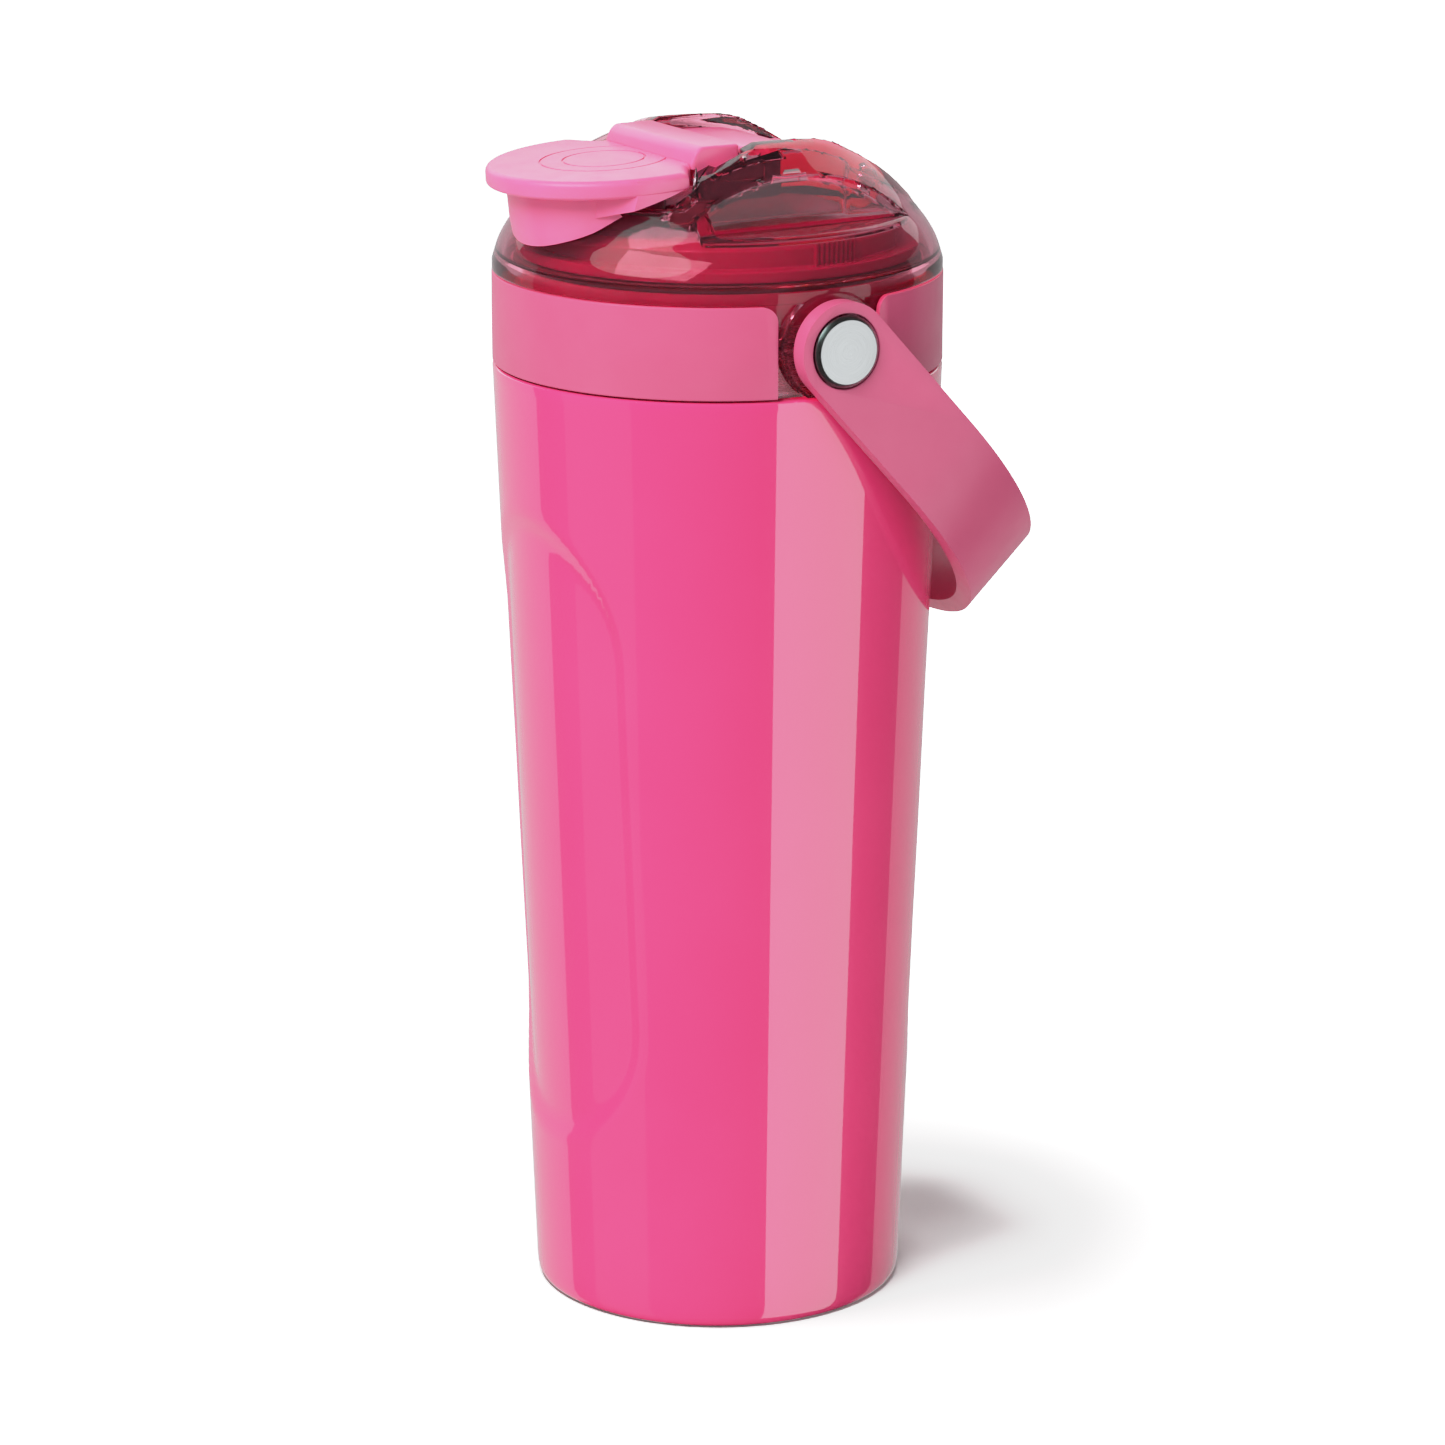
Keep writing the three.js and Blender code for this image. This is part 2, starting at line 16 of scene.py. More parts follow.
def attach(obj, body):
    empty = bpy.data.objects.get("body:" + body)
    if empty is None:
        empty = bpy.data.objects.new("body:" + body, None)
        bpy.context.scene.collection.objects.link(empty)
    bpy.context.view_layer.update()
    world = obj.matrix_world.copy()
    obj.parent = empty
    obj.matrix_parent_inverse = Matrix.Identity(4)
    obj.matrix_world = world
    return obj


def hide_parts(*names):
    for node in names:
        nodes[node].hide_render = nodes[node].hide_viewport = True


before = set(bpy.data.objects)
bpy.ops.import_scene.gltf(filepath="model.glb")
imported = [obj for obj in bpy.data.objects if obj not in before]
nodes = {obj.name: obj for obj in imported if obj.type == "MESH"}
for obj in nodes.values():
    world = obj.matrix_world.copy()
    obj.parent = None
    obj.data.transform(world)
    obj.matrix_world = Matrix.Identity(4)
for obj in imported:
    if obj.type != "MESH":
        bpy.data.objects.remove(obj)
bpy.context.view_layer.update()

scene = bpy.context.scene

# %% [markdown]
# ## Camera
# A long lens from a metre away keeps the sides of the bottle nearly straight. The camera
# stands to the front right, a little above the lid, and looks down at the middle of the body.

# %% Camera
def at_bearing(bearing, distance, height):
    """A point at a bearing round the bottle: 0 is in front of the spout, 90 is on the +X side."""
    turn = math.radians(bearing)
    return Vector((math.sin(turn) * distance, -math.cos(turn) * distance, height))


CAMERA_BEARING = 60.4
camera = bpy.data.objects.new("camera", bpy.data.cameras.new("camera"))
camera.location = at_bearing(CAMERA_BEARING, 1.02107, 0.3949)
camera.rotation_euler = (math.radians(90 - 15.286), 0, math.radians(CAMERA_BEARING - 0.057))
camera.data.lens = 130.9
camera.data.sensor_width = 36
camera.data.clip_start = 0.05
scene.collection.objects.link(camera)
scene.camera = camera
print("camera at", [round(c, 3) for c in camera.location])

# %% [markdown]
# ## Floor
# A product shot has no horizon, so the floor has to melt into a white background and still
# take a soft shadow. Its shader is the sum of two: a plain diffuse that takes the shadow,
# and a glow that grows with the distance from the bottle until the floor is white. A shader
# can ask what kind of ray has met it. For bounced light the diffuse is darker and the glow
# is off, or the floor would light the bottle from below and the shadow would turn pink. The
# floor hides from glossy rays too, because its reflection would wash out the paint.

# %% Floor plane
def disc(radius):
    shape = bmesh.new()
    bmesh.ops.create_circle(shape, cap_ends=True, radius=radius, segments=96)
    return shape


floor_mesh = bpy.data.meshes.new("floor")
floor_shape = disc(6)
floor_shape.to_mesh(floor_mesh)
floor_shape.free()
floor = bpy.data.objects.new("floor", floor_mesh)
scene.collection.objects.link(floor)
floor.visible_glossy = False
print("floor: one face with", len(floor_mesh.vertices), "points")


# %% A value that depends on the ray
def by_ray(tree, socket, plain, **rays):
    """Sets a value to plain, and to other values for kinds of ray, such as camera or glossy."""
    path, total = tree.nodes.new("ShaderNodeLightPath"), None
    for kind, value in rays.items():
        step = tree.nodes.new("ShaderNodeMath")
        step.operation = "MULTIPLY_ADD"
        tree.links.new(path.outputs[f"Is {kind.title()} Ray"], step.inputs[0])
        step.inputs[1].default_value = value - plain
        step.inputs[2].default_value = plain
        if total:
            tree.links.new(total, step.inputs[2])
        total = step.outputs["Value"]
    tree.links.new(total, socket)


# %% Floor finish
WHITE = 2.3
FLOOR_BOUNCED, FLOOR_SEEN, GLOW_THROUGH_LID = 0.26, 0.62, 0.12
GLOW_NEAR, GLOW_FAR, GLOW_FAINT = 0.07, 0.36, 0.06
floor_paint = bpy.data.materials.new("pale_floor")
floor_paint.use_nodes = True
tree = floor_paint.node_tree
tree.nodes.clear()
lit, lift = tree.nodes.new("ShaderNodeBsdfDiffuse"), tree.nodes.new("ShaderNodeEmission")
both, out = tree.nodes.new("ShaderNodeAddShader"), tree.nodes.new("ShaderNodeOutputMaterial")
where, away = tree.nodes.new("ShaderNodeTexCoord"), tree.nodes.new("ShaderNodeVectorMath")
glow, seen = tree.nodes.new("ShaderNodeMapRange"), tree.nodes.new("ShaderNodeMath")
away.operation, seen.operation = "LENGTH", "MULTIPLY"
glow_range = {"From Min": GLOW_NEAR, "From Max": GLOW_FAR, "To Min": GLOW_FAINT, "To Max": WHITE}
for socket, value in glow_range.items():
    glow.inputs[socket].default_value = value
tree.links.new(where.outputs["Object"], away.inputs[0])
tree.links.new(away.outputs["Value"], glow.inputs["Value"])
tree.links.new(glow.outputs["Result"], seen.inputs[0])
by_ray(tree, lit.inputs["Color"], FLOOR_BOUNCED, camera=FLOOR_SEEN)
by_ray(tree, seen.inputs[1], 0, camera=1, transmission=GLOW_THROUGH_LID)
tree.links.new(seen.outputs["Value"], lift.inputs["Strength"])
tree.links.new(lit.outputs["BSDF"], both.inputs[0])
tree.links.new(lift.outputs["Emission"], both.inputs[1])
tree.links.new(both.outputs["Shader"], out.inputs["Surface"])
floor_mesh.materials.append(floor_paint)
print("floor glows from", GLOW_NEAR, "to", GLOW_FAR, "m away from the bottle")

# %% [markdown]
# ## Background
# The world is white for the camera and a pale grey behind the clear lid. For the shading it
# is only a dim fill, so that the pieces keep their contrast, and in reflections it is almost
# black, so that the cards are all that shows in the paint.

# %% World
FILL, BEHIND_LID, IN_REFLECTIONS = 0.42, 0.85, 0.04
world = bpy.data.worlds.new("studio")
world.use_nodes = True
scene.world = world
air = world.node_tree.nodes["Background"]
air.inputs["Color"].default_value = (1, 1, 1, 1)
by_ray(world.node_tree, air.inputs["Strength"], FILL, camera=WHITE, transmission=BEHIND_LID,
       glossy=IN_REFLECTIONS)
scene.view_settings.view_transform = "Standard"
print("fill light", FILL)

# %% [markdown]
# A camera doesn't clip a bright pink to pure red. Film has a shoulder: above about 0.6 the
# brightness rises ever more slowly. A curve in the colour management gives that shoulder,
# and still lets the floor reach white.

# %% Shoulder
view = scene.view_settings
view.use_curve_mapping = True
curves = view.curve_mapping
curves.white_level = (WHITE, WHITE, WHITE)
curves.clip_max_x = curves.clip_max_y = 1
master = curves.curves[3]
master.points[0].location = (0, 0)
master.points[1].location = (1, 1)
for light, shown in ((0.30, 0.31), (0.60, 0.60), (0.85, 0.76), (1.2, 0.835), (1.6, 0.872), (1.95, 0.935)):
    master.points.new(light / WHITE, shown)
curves.update()

# %% [markdown]
# ## Lamps
# Light linking says what a lamp reaches. The key softbox, at the front left, lights
# everything but the floor and makes the shading. Two lamps above light the floor alone: a
# strong one that lays the soft shadow to the right of the foot, and a weak one that fills it
# a little. So the shadow can be set without changing the bottle, and the other way round.

# %% Softboxes
def softbox(name, bearing, distance, height, width, tall, watts, look_at):
    lamp = bpy.data.lights.new(name, "AREA")
    lamp.shape, lamp.size, lamp.size_y, lamp.energy = "RECTANGLE", width, tall, watts
    box = bpy.data.objects.new(name, lamp)
    box.location = at_bearing(bearing, distance, height)
    box.rotation_euler = (box.location - Vector(look_at)).to_track_quat("Z", "Y").to_euler()
    box.visible_camera = box.visible_glossy = False
    scene.collection.objects.link(box)
    return box


def lights_only(lamp, name, on_floor):
    """Lets a lamp light the floor alone, or everything but the floor."""
    group = bpy.data.collections.new(name)
    group.objects.link(floor)
    group.collection_objects[0].light_linking.link_state = "INCLUDE" if on_floor else "EXCLUDE"
    lamp.light_linking.receiver_collection = group


BODY_AIM, FLOOR_AIM = (0, 0, 0.12), (0, 0, 0)
key_box = softbox("key_softbox", 22, 0.75, 0.95, 0.75, 0.55, 17, BODY_AIM)
floor_box = softbox("floor_softbox", 4, 0.2, 1.2, 0.5, 0.5, 70, FLOOR_AIM)
fill_box = softbox("floor_fill_box", 33, 0.45, 1.1, 0.5, 0.5, 12, FLOOR_AIM)
lights_only(key_box, "all_but_the_floor", False)
lights_only(floor_box, "the_floor", True)
lights_only(fill_box, "the_floor_too", True)
print("lamps: one softbox for the bottle and two for the floor")

# %% [markdown]
# ## Reflection cards
# White cards give the long, sharp streaks that tell the eye that the paint is glossy. A card
# is a glowing sheet that only reflections see, so a streak can be set without changing the
# shading. Four cards stand bent round the bottle and draw the upright streaks, one hangs
# above for the cap's top and the lid's ears, and an oval one makes the pale patch on the
# front of the lid.

# %% Cards
def lit_card(name, shape, glow):
    """A card of any shape, whose glow is (red, green, blue, strength)."""
    mesh = bpy.data.meshes.new(name)
    shape.to_mesh(mesh)
    shape.free()
    light = bpy.data.materials.new(name)
    light.use_nodes = True
    tree = light.node_tree
    tree.nodes.clear()
    lamp, out = tree.nodes.new("ShaderNodeEmission"), tree.nodes.new("ShaderNodeOutputMaterial")
    lamp.inputs["Color"].default_value = glow[:3] + (1,)
    lamp.inputs["Strength"].default_value = glow[3]
    tree.links.new(lamp.outputs["Emission"], out.inputs["Surface"])
    light.cycles.emission_sampling = "NONE"
    mesh.materials.append(light)
    obj = bpy.data.objects.new(name, mesh)
    obj.visible_camera = obj.visible_diffuse = obj.visible_shadow = False
    obj.visible_transmission = False
    scene.collection.objects.link(obj)
    return obj


def bent_card(name, start, end, low, high, glow, distance=1.3):
    """A card bent round the bottle, from one bearing to another, both counted from the camera's."""
    shape = bmesh.new()
    foot = shape.verts.new(at_bearing(CAMERA_BEARING + start, distance, low))
    head = shape.verts.new(at_bearing(CAMERA_BEARING + start, distance, high))
    edge = shape.edges.new((foot, head))
    bmesh.ops.spin(shape, geom=[foot, head, edge], cent=(0, 0, 0), axis=(0, 0, 1), dvec=(0, 0, 0),
                   angle=math.radians(end - start), steps=24, use_merge=False, use_duplicate=False)
    return lit_card(name, shape, glow)


# %% Six cards
LOW, MIDDLE, HIGH = -1.2, 0.5, 1.7
bent_card("card_right", 30, 82, LOW, MIDDLE, (0.86, 0.97, 1.0, 1.9))
bent_card("card_left", -178, -105, LOW, MIDDLE, (1.0, 0.98, 1.0, 0.6))
bent_card("card_rear", 116, 178, LOW, MIDDLE, (1.0, 0.95, 0.97, 0.5))
bent_card("card_front", -84, -44, LOW, MIDDLE, (1.0, 0.98, 1.0, 0.2))
bent_card("card_above", 135, 232, MIDDLE, HIGH, (1.0, 0.99, 1.0, 1.4))
patch = disc(0.5)
bmesh.ops.scale(patch, vec=(0.95, 0.68, 1), verts=patch.verts)
patch_card = lit_card("card_patch", patch, (0.66, 1.0, 0.96, 2.7))
patch_place = at_bearing(10, 0.75, 0.95)
facing = (patch_place - Vector(BODY_AIM)).to_track_quat("Z", "Y").to_matrix().to_4x4()
patch_card.data.transform(Matrix.Translation(patch_place) @ facing)

# %% [markdown]
# ## Materials
# No real surface is one flat colour, so every finish starts from the same three ideas. A
# noise varies the colour a little, a second noise varies the roughness, and a third, much
# finer, moves the surface up and down as bump. What differs is their scale and strength:
# paint has a slow orange peel, moulded plastic a fine grain, and brushed steel long
# scratches. The patterns read Object coordinates, in metres, so they keep their size.

# %% Noise that varies a finish
def noise(tree, vector, scale, detail=3.0, rough=0.5):
    node = tree.nodes.new("ShaderNodeTexNoise")
    node.inputs["Scale"].default_value = scale
    node.inputs["Detail"].default_value = detail
    node.inputs["Roughness"].default_value = rough
    tree.links.new(vector, node.inputs["Vector"])
    return node.outputs["Fac"]


def ramp(tree, fac, low, high):
    """A colour that goes from low to high as fac goes from 0.3 to 0.7."""
    node = tree.nodes.new("ShaderNodeValToRGB")
    first, last = node.color_ramp.elements
    first.position, last.position = 0.3, 0.7
    first.color, last.color = tuple(low) + (1,), tuple(high) + (1,)
    tree.links.new(fac, node.inputs["Fac"])
    return node.outputs["Color"]


def spread(tree, fac, low, high):
    """A number that goes from low to high as fac goes from 0.3 to 0.7."""
    node = tree.nodes.new("ShaderNodeMapRange")
    for socket, value in zip(("From Min", "From Max", "To Min", "To Max"), (0.3, 0.7, low, high)):
        node.inputs[socket].default_value = value
    tree.links.new(fac, node.inputs["Value"])
    return node.outputs["Result"]


# %% Place of a pattern, and its bump
def object_place(tree, stretch=(1, 1, 1)):
    """Object coordinates, squeezed along each axis so that a pattern stretches."""
    where, squeeze = tree.nodes.new("ShaderNodeTexCoord"), tree.nodes.new("ShaderNodeMapping")
    squeeze.inputs["Scale"].default_value = stretch
    tree.links.new(where.outputs["Object"], squeeze.inputs["Vector"])
    return squeeze.outputs["Vector"]


def bumped(tree, shader, height, strength, distance):
    node = tree.nodes.new("ShaderNodeBump")
    node.inputs["Strength"].default_value = strength
    node.inputs["Distance"].default_value = distance
    tree.links.new(height, node.inputs["Height"])
    tree.links.new(node.outputs["Normal"], shader.inputs["Normal"])


# %% Finish helper
# The roughness varies on a scale this much finer than the colour does.
FINER = 3.7


def finish(name, low, high, rough, grain, stretch=(1, 1, 1), tone_scale=40, **sockets):
    """A finish with uneven colour, uneven roughness and a grain of (scale, strength, depth)."""
    material = bpy.data.materials.new(name)
    material.use_nodes = True
    tree = material.node_tree
    shader = tree.nodes["Principled BSDF"]
    place = object_place(tree, stretch)
    tone, wear = noise(tree, place, tone_scale), noise(tree, place, tone_scale * FINER)
    tree.links.new(ramp(tree, tone, low, high), shader.inputs["Base Color"])
    tree.links.new(spread(tree, wear, *rough), shader.inputs["Roughness"])
    scale, strength, depth = grain
    bumped(tree, shader, noise(tree, place, scale, 2.0), strength, depth)
    for socket, value in sockets.items():
        shader.inputs[socket.replace("_", " ")].default_value = value
    return material


# %% [markdown]
# ### The solid finishes
# The body is steel under a gloss powder coat, which is a colour with a clear coat over a
# faint orange peel. The collar, handle and cap are moulded: the collar and handle are satin,
# and the cap is a paler, slightly glossier pink that light enters a little.

# %% Pinks
gloss_paint = finish("gloss_pink_paint", (0.86, 0.050, 0.188), (0.90, 0.055, 0.200), (0.22, 0.26),
                     (900, 0.02, 0.0004), tone_scale=25, Coat_Weight=1.0, Coat_Roughness=0.015,
                     Coat_IOR=1.8, Specular_IOR_Level=0.2)
satin_pink = finish("satin_pink_plastic", (0.57, 0.080, 0.180), (0.60, 0.089, 0.194), (0.30, 0.36),
                    (2200, 0.10, 0.00006), tone_scale=60)
cap_pink = finish("cap_pink_plastic", (0.84, 0.122, 0.282), (0.87, 0.132, 0.300), (0.30, 0.36),
                  (2200, 0.08, 0.00006), tone_scale=60, Subsurface_Weight=0.12, Subsurface_Scale=0.002,
                  Specular_IOR_Level=0.85)
print("pinks:", gloss_paint.name, satin_pink.name, cap_pink.name)

# %% [markdown]
# ### Clear and dark plastics
# The clear lid is a thin tinted glass. Cycles finds little light behind glass by itself, so
# rays on their way to a lamp go straight through, tinted: a Mix Shader swaps in a
# Transparent shader for them. The plug behind it is a darker, opaque crimson.

# %% Clear crimson
def clear_finish(name, low, high, shade_tint):
    material = finish(name, low, high, (0.01, 0.03), (300, 0.015, 0.0004), tone_scale=30,
                      Transmission_Weight=0.985, IOR=1.4)
    tree = material.node_tree
    shader, out = tree.nodes["Principled BSDF"], tree.nodes["Material Output"]
    path, swap = tree.nodes.new("ShaderNodeLightPath"), tree.nodes.new("ShaderNodeMixShader")
    through = tree.nodes.new("ShaderNodeBsdfTransparent")
    through.inputs["Color"].default_value = shade_tint + (1,)
    tree.links.new(path.outputs["Is Shadow Ray"], swap.inputs["Fac"])
    tree.links.new(shader.outputs["BSDF"], swap.inputs[1])
    tree.links.new(through.outputs["BSDF"], swap.inputs[2])
    tree.links.new(swap.outputs["Shader"], out.inputs["Surface"])
    return material


clear_crimson = clear_finish("clear_crimson", (0.80, 0.27, 0.38), (0.84, 0.31, 0.42), (0.92, 0.52, 0.62))
print("clear:", clear_crimson.name)

# %% Opaque plastics and rubber
crimson_plastic = finish("crimson_plastic", (0.215, 0.011, 0.070), (0.26, 0.015, 0.086), (0.18, 0.26),
                         (1800, 0.05, 0.0002), tone_scale=50)
silicone = finish("dark_silicone", (0.050, 0.006, 0.010), (0.075, 0.010, 0.016), (0.60, 0.75),
                  (3000, 0.25, 0.0002), tone_scale=120)
white_plastic = finish("white_plastic", (0.72, 0.70, 0.68), (0.80, 0.79, 0.77), (0.36, 0.46),
                       (2400, 0.12, 0.0002), tone_scale=80)
print("dark and white:", crimson_plastic.name, silicone.name, white_plastic.name)

# %% [markdown]
# ### Metals
# Drawn steel stretches its noise along the brushing. The turned button caps are brushed in
# circles, so their noise reads the radius and the angle round an axis in place of x, y and
# z. The angle counts for little, which makes each scratch long and the gaps between narrow.

# %% Drawn steel and brass
steel = finish("drawn_steel", (0.56, 0.555, 0.55), (0.70, 0.695, 0.69), (0.20, 0.34),
               (900, 0.12, 0.0002), stretch=(1, 1, 14), tone_scale=120, Metallic=1.0)
brass = finish("turned_brass", (0.60, 0.40, 0.15), (0.70, 0.49, 0.20), (0.24, 0.36),
               (1500, 0.15, 0.0002), tone_scale=200, Metallic=1.0)
print("metals:", steel.name, brass.name)


# %% Steel brushed in circles
MM = 0.001
PIVOT_Z = 200.4
# One radian round the axis counts for as much of the pattern as this length along the radius.
METRES_PER_RADIAN = 0.00012


def round_place(tree, along_x, pivot_z):
    """The radius and the angle about an axis along X, or about Z, as a place for a pattern."""
    where, shift = tree.nodes.new("ShaderNodeTexCoord"), tree.nodes.new("ShaderNodeMapping")
    split, flat = tree.nodes.new("ShaderNodeSeparateXYZ"), tree.nodes.new("ShaderNodeCombineXYZ")
    angle, scaled = tree.nodes.new("ShaderNodeMath"), tree.nodes.new("ShaderNodeMath")
    length, join = tree.nodes.new("ShaderNodeVectorMath"), tree.nodes.new("ShaderNodeCombineXYZ")
    shift.inputs["Location"].default_value = (0, 0, -pivot_z * MM)
    angle.operation, scaled.operation, length.operation = "ARCTAN2", "MULTIPLY", "LENGTH"
    scaled.inputs[1].default_value = METRES_PER_RADIAN
    first, second = ("Y", "Z") if along_x else ("X", "Y")
    tree.links.new(where.outputs["Object"], shift.inputs["Vector"])
    tree.links.new(shift.outputs["Vector"], split.inputs["Vector"])
    tree.links.new(split.outputs[second], angle.inputs[0])
    tree.links.new(split.outputs[first], angle.inputs[1])
    tree.links.new(split.outputs[first], flat.inputs["X"])
    tree.links.new(split.outputs[second], flat.inputs["Y"])
    tree.links.new(flat.outputs["Vector"], length.inputs[0])
    tree.links.new(angle.outputs["Value"], scaled.inputs[0])
    tree.links.new(length.outputs["Value"], join.inputs["X"])
    tree.links.new(scaled.outputs["Value"], join.inputs["Y"])
    return join.outputs["Vector"]


def round_brushed(name, along_x, pivot_z):
    material = bpy.data.materials.new(name)
    material.use_nodes = True
    tree = material.node_tree
    shader = tree.nodes["Principled BSDF"]
    lines = noise(tree, round_place(tree, along_x, pivot_z), 5200, 4.0, 0.6)
    tree.links.new(ramp(tree, lines, (0.37, 0.345, 0.34), (0.46, 0.43, 0.425)), shader.inputs["Base Color"])
    tree.links.new(spread(tree, lines, 0.26, 0.34), shader.inputs["Roughness"])
    bumped(tree, shader, lines, 0.10, 0.0001)
    shader.inputs["Metallic"].default_value = 1.0
    return material


pivot_steel = round_brushed("button_steel", True, PIVOT_Z)
base_steel = round_brushed("base_steel", False, 0)
print("brushed in circles:", pivot_steel.name, base_steel.name)

# %% [markdown]
# ## Turning and placing
# Most of a bottle is turned, so the main tool is a profile spun about an axis, and the rest
# starts from plain blocks. All sizes are given in millimetres, as on the drawing.

# %% Turned shapes and blocks
def spun(profile, steps=160):
    """A closed solid from a profile of (radius, height) in millimetres, turned about Z."""
    shape = bmesh.new()
    points = [shape.verts.new((r * MM, 0, h * MM)) for r, h in profile]
    wires = [shape.edges.new(pair) for pair in zip(points, points[1:])]
    if profile[0][0] > 0:
        wires.append(shape.edges.new((points[-1], points[0])))
    bmesh.ops.spin(shape, geom=points + wires, cent=(0, 0, 0), axis=(0, 0, 1), dvec=(0, 0, 0),
                   angle=2 * math.pi, steps=steps, use_merge=True, use_duplicate=False)
    bmesh.ops.remove_doubles(shape, verts=shape.verts, dist=1e-6)
    bmesh.ops.recalc_face_normals(shape, faces=shape.faces)
    return shape


def block(x, y, z):
    shape = bmesh.new()
    bmesh.ops.create_cube(shape, size=1)
    for axis, (low, high) in enumerate((x, y, z)):
        for v in shape.verts:
            v.co[axis] = (low if v.co[axis] < 0 else high) * MM
    return shape


def both_sides(x, y, z):
    """Two blocks, one on each side of the bottle's middle plane."""
    return [block(x, y, z), block((-x[1], -x[0]), y, z)]


def across(outline, half_width):
    """A solid from side to side of the bottle, with an outline of (y, z) as seen from the side."""
    shape = bmesh.new()
    face = shape.faces.new([shape.verts.new((-half_width * MM, y * MM, z * MM)) for y, z in outline])
    grown = bmesh.ops.extrude_face_region(shape, geom=[face])["geom"]
    far_side = [v for v in grown if isinstance(v, bmesh.types.BMVert)]
    bmesh.ops.translate(shape, vec=(2 * half_width * MM, 0, 0), verts=far_side)
    bmesh.ops.recalc_face_normals(shape, faces=shape.faces)
    return shape


# %% Moving and turning
def moved(shape, x=0, y=0, z=0):
    bmesh.ops.translate(shape, vec=Vector((x, y, z)) * MM, verts=shape.verts)
    return shape


def turned(shape, angle, axis):
    """Turns a shape by an angle in radians about an axis through the origin."""
    bmesh.ops.rotate(shape, cent=(0, 0, 0), matrix=Matrix.Rotation(angle, 3, axis), verts=shape.verts)
    return shape


def turned_to_x(shape, side=1):
    """Lays a shape made about Z along X, pointing to the right (1) or to the left (-1)."""
    return turned(shape, side * math.pi / 2, "Y")


def bar_along_x(radius, half, y, z, steps=48):
    bar = turned_to_x(spun([(0, -half), (radius, -half), (radius, half), (0, half)], steps))
    return moved(bar, 0, y, z)


def post(radius, low, high, y=0, steps=128):
    return moved(spun([(0, low), (radius, low), (radius, high), (0, high)], steps), 0, y, 0)


# %% [markdown]
# ## Rounding
# A turned shape has knife edges, and a real one never does. Bevel rounds the edges that are
# sharper than an angle, and a test can keep it to one part of the shape.

# %% Rounded edges
def rounded(shape, width, sharper_than=30, segments=3, where=None):
    """Rounds the edges that are sharper than an angle, and where the test says so."""
    limit = math.radians(sharper_than)
    edges = [e for e in shape.edges if e.is_manifold and e.calc_face_angle(0) > limit
             and (where is None or where((e.verts[0].co + e.verts[1].co) / 2 / MM))]
    return bevelled(shape, edges, width, segments)


def bevelled(shape, edges, width, segments):
    bmesh.ops.bevel(shape, geom=edges, offset=width * MM, offset_type="OFFSET", segments=segments,
                    profile=0.5, affect="EDGES", material=-1, clamp_overlap=True)
    return shape


# %% [markdown]
# ## Cutting and joining
# What isn't round is cut with Boolean modifiers, which are applied at once. A modifier works
# on objects, so the two shapes go into the scene for a moment.

# %% Cutting and joining
def bench(shape):
    """Puts a shape into the scene for a modifier, and lets go of the bmesh."""
    mesh = bpy.data.meshes.new("bench")
    shape.to_mesh(mesh)
    shape.free()
    obj = bpy.data.objects.new("bench", mesh)
    scene.collection.objects.link(obj)
    return obj


def combined(shape, how, *tools):
    """The shape after each tool has been cut from it, joined to it or met with it."""
    for tool in tools:
        work, other = bench(shape), bench(tool)
        boolean = work.modifiers.new("cut", "BOOLEAN")
        boolean.operation, boolean.solver, boolean.object = how, "MANIFOLD", other
        shape = bmesh.new()
        shape.from_mesh(work.evaluated_get(bpy.context.evaluated_depsgraph_get()).to_mesh())
        for used in (work, other):
            mesh = used.data
            bpy.data.objects.remove(used)
            bpy.data.meshes.remove(mesh)
    bmesh.ops.dissolve_degenerate(shape, dist=2e-6, edges=shape.edges)
    return shape


def cut(shape, *tools):
    return combined(shape, "DIFFERENCE", *tools)


def joined(shape, *tools):
    return combined(shape, "UNION", *tools)


# %% [markdown]
# ## Making a piece
# A finished piece rides on a body of the frame, so that it moves when the joints do. It also
# hides the CAD nodes that it stands for, and takes its material.

# %% Making a piece
def piece(name, shape, material, body, stands_for=(), crease=32):
    """Makes a finished piece of a shape, puts it on its body and hides the CAD nodes that it replaces."""
    mesh = bpy.data.meshes.new(name)
    shape.to_mesh(mesh)
    shape.free()
    mesh.polygons.foreach_set("use_smooth", [True] * len(mesh.polygons))
    mesh.set_sharp_from_angle(angle=math.radians(crease))
    mesh.materials.append(material)
    obj = bpy.data.objects.new(name, mesh)
    scene.collection.objects.link(obj)
    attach(obj, body)
    if stands_for:
        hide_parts(*stands_for)
    print(f"{name}: {len(mesh.polygons)} faces")
    return obj


# %% [markdown]
# ## Painted body
# The body is one drawn steel wall, narrow at the foot and wide at the top, with a long
# shallow recess pressed into the front and the back for the hand. It is turned with many
# rows up its side, and then each point inside a recess is pushed towards the axis.

# %% Wall of the body
BASE_RADIUS, TOP_RADIUS = 37.25, 44.5
FOOT, SEAM = 3.0, 190.6
STEEL = 0.9


def wall_radius(z):
    return BASE_RADIUS + (TOP_RADIUS - BASE_RADIUS) * (z - FOOT) / (SEAM - FOOT)


def wall(inset, low, high, rows):
    """Rows of points up the sloping side, moved in by the inset."""
    heights = [low + (high - low) * i / (rows - 1) for i in range(rows)]
    return [(wall_radius(z) - inset, z) for z in heights]


print("the side leans out by", round(TOP_RADIUS - BASE_RADIUS, 2), "mm")

# %% Recesses for the hand
RECESS_LOW, RECESS_HIGH, RECESS_HALF, RECESS_DEPTH, RECESS_EDGE = 35, 164, 27, 1.3, 4.2


def smooth_step(value, low, high):
    t = min(max((value - low) / (high - low), 0), 1)
    return t * t * (3 - 2 * t)


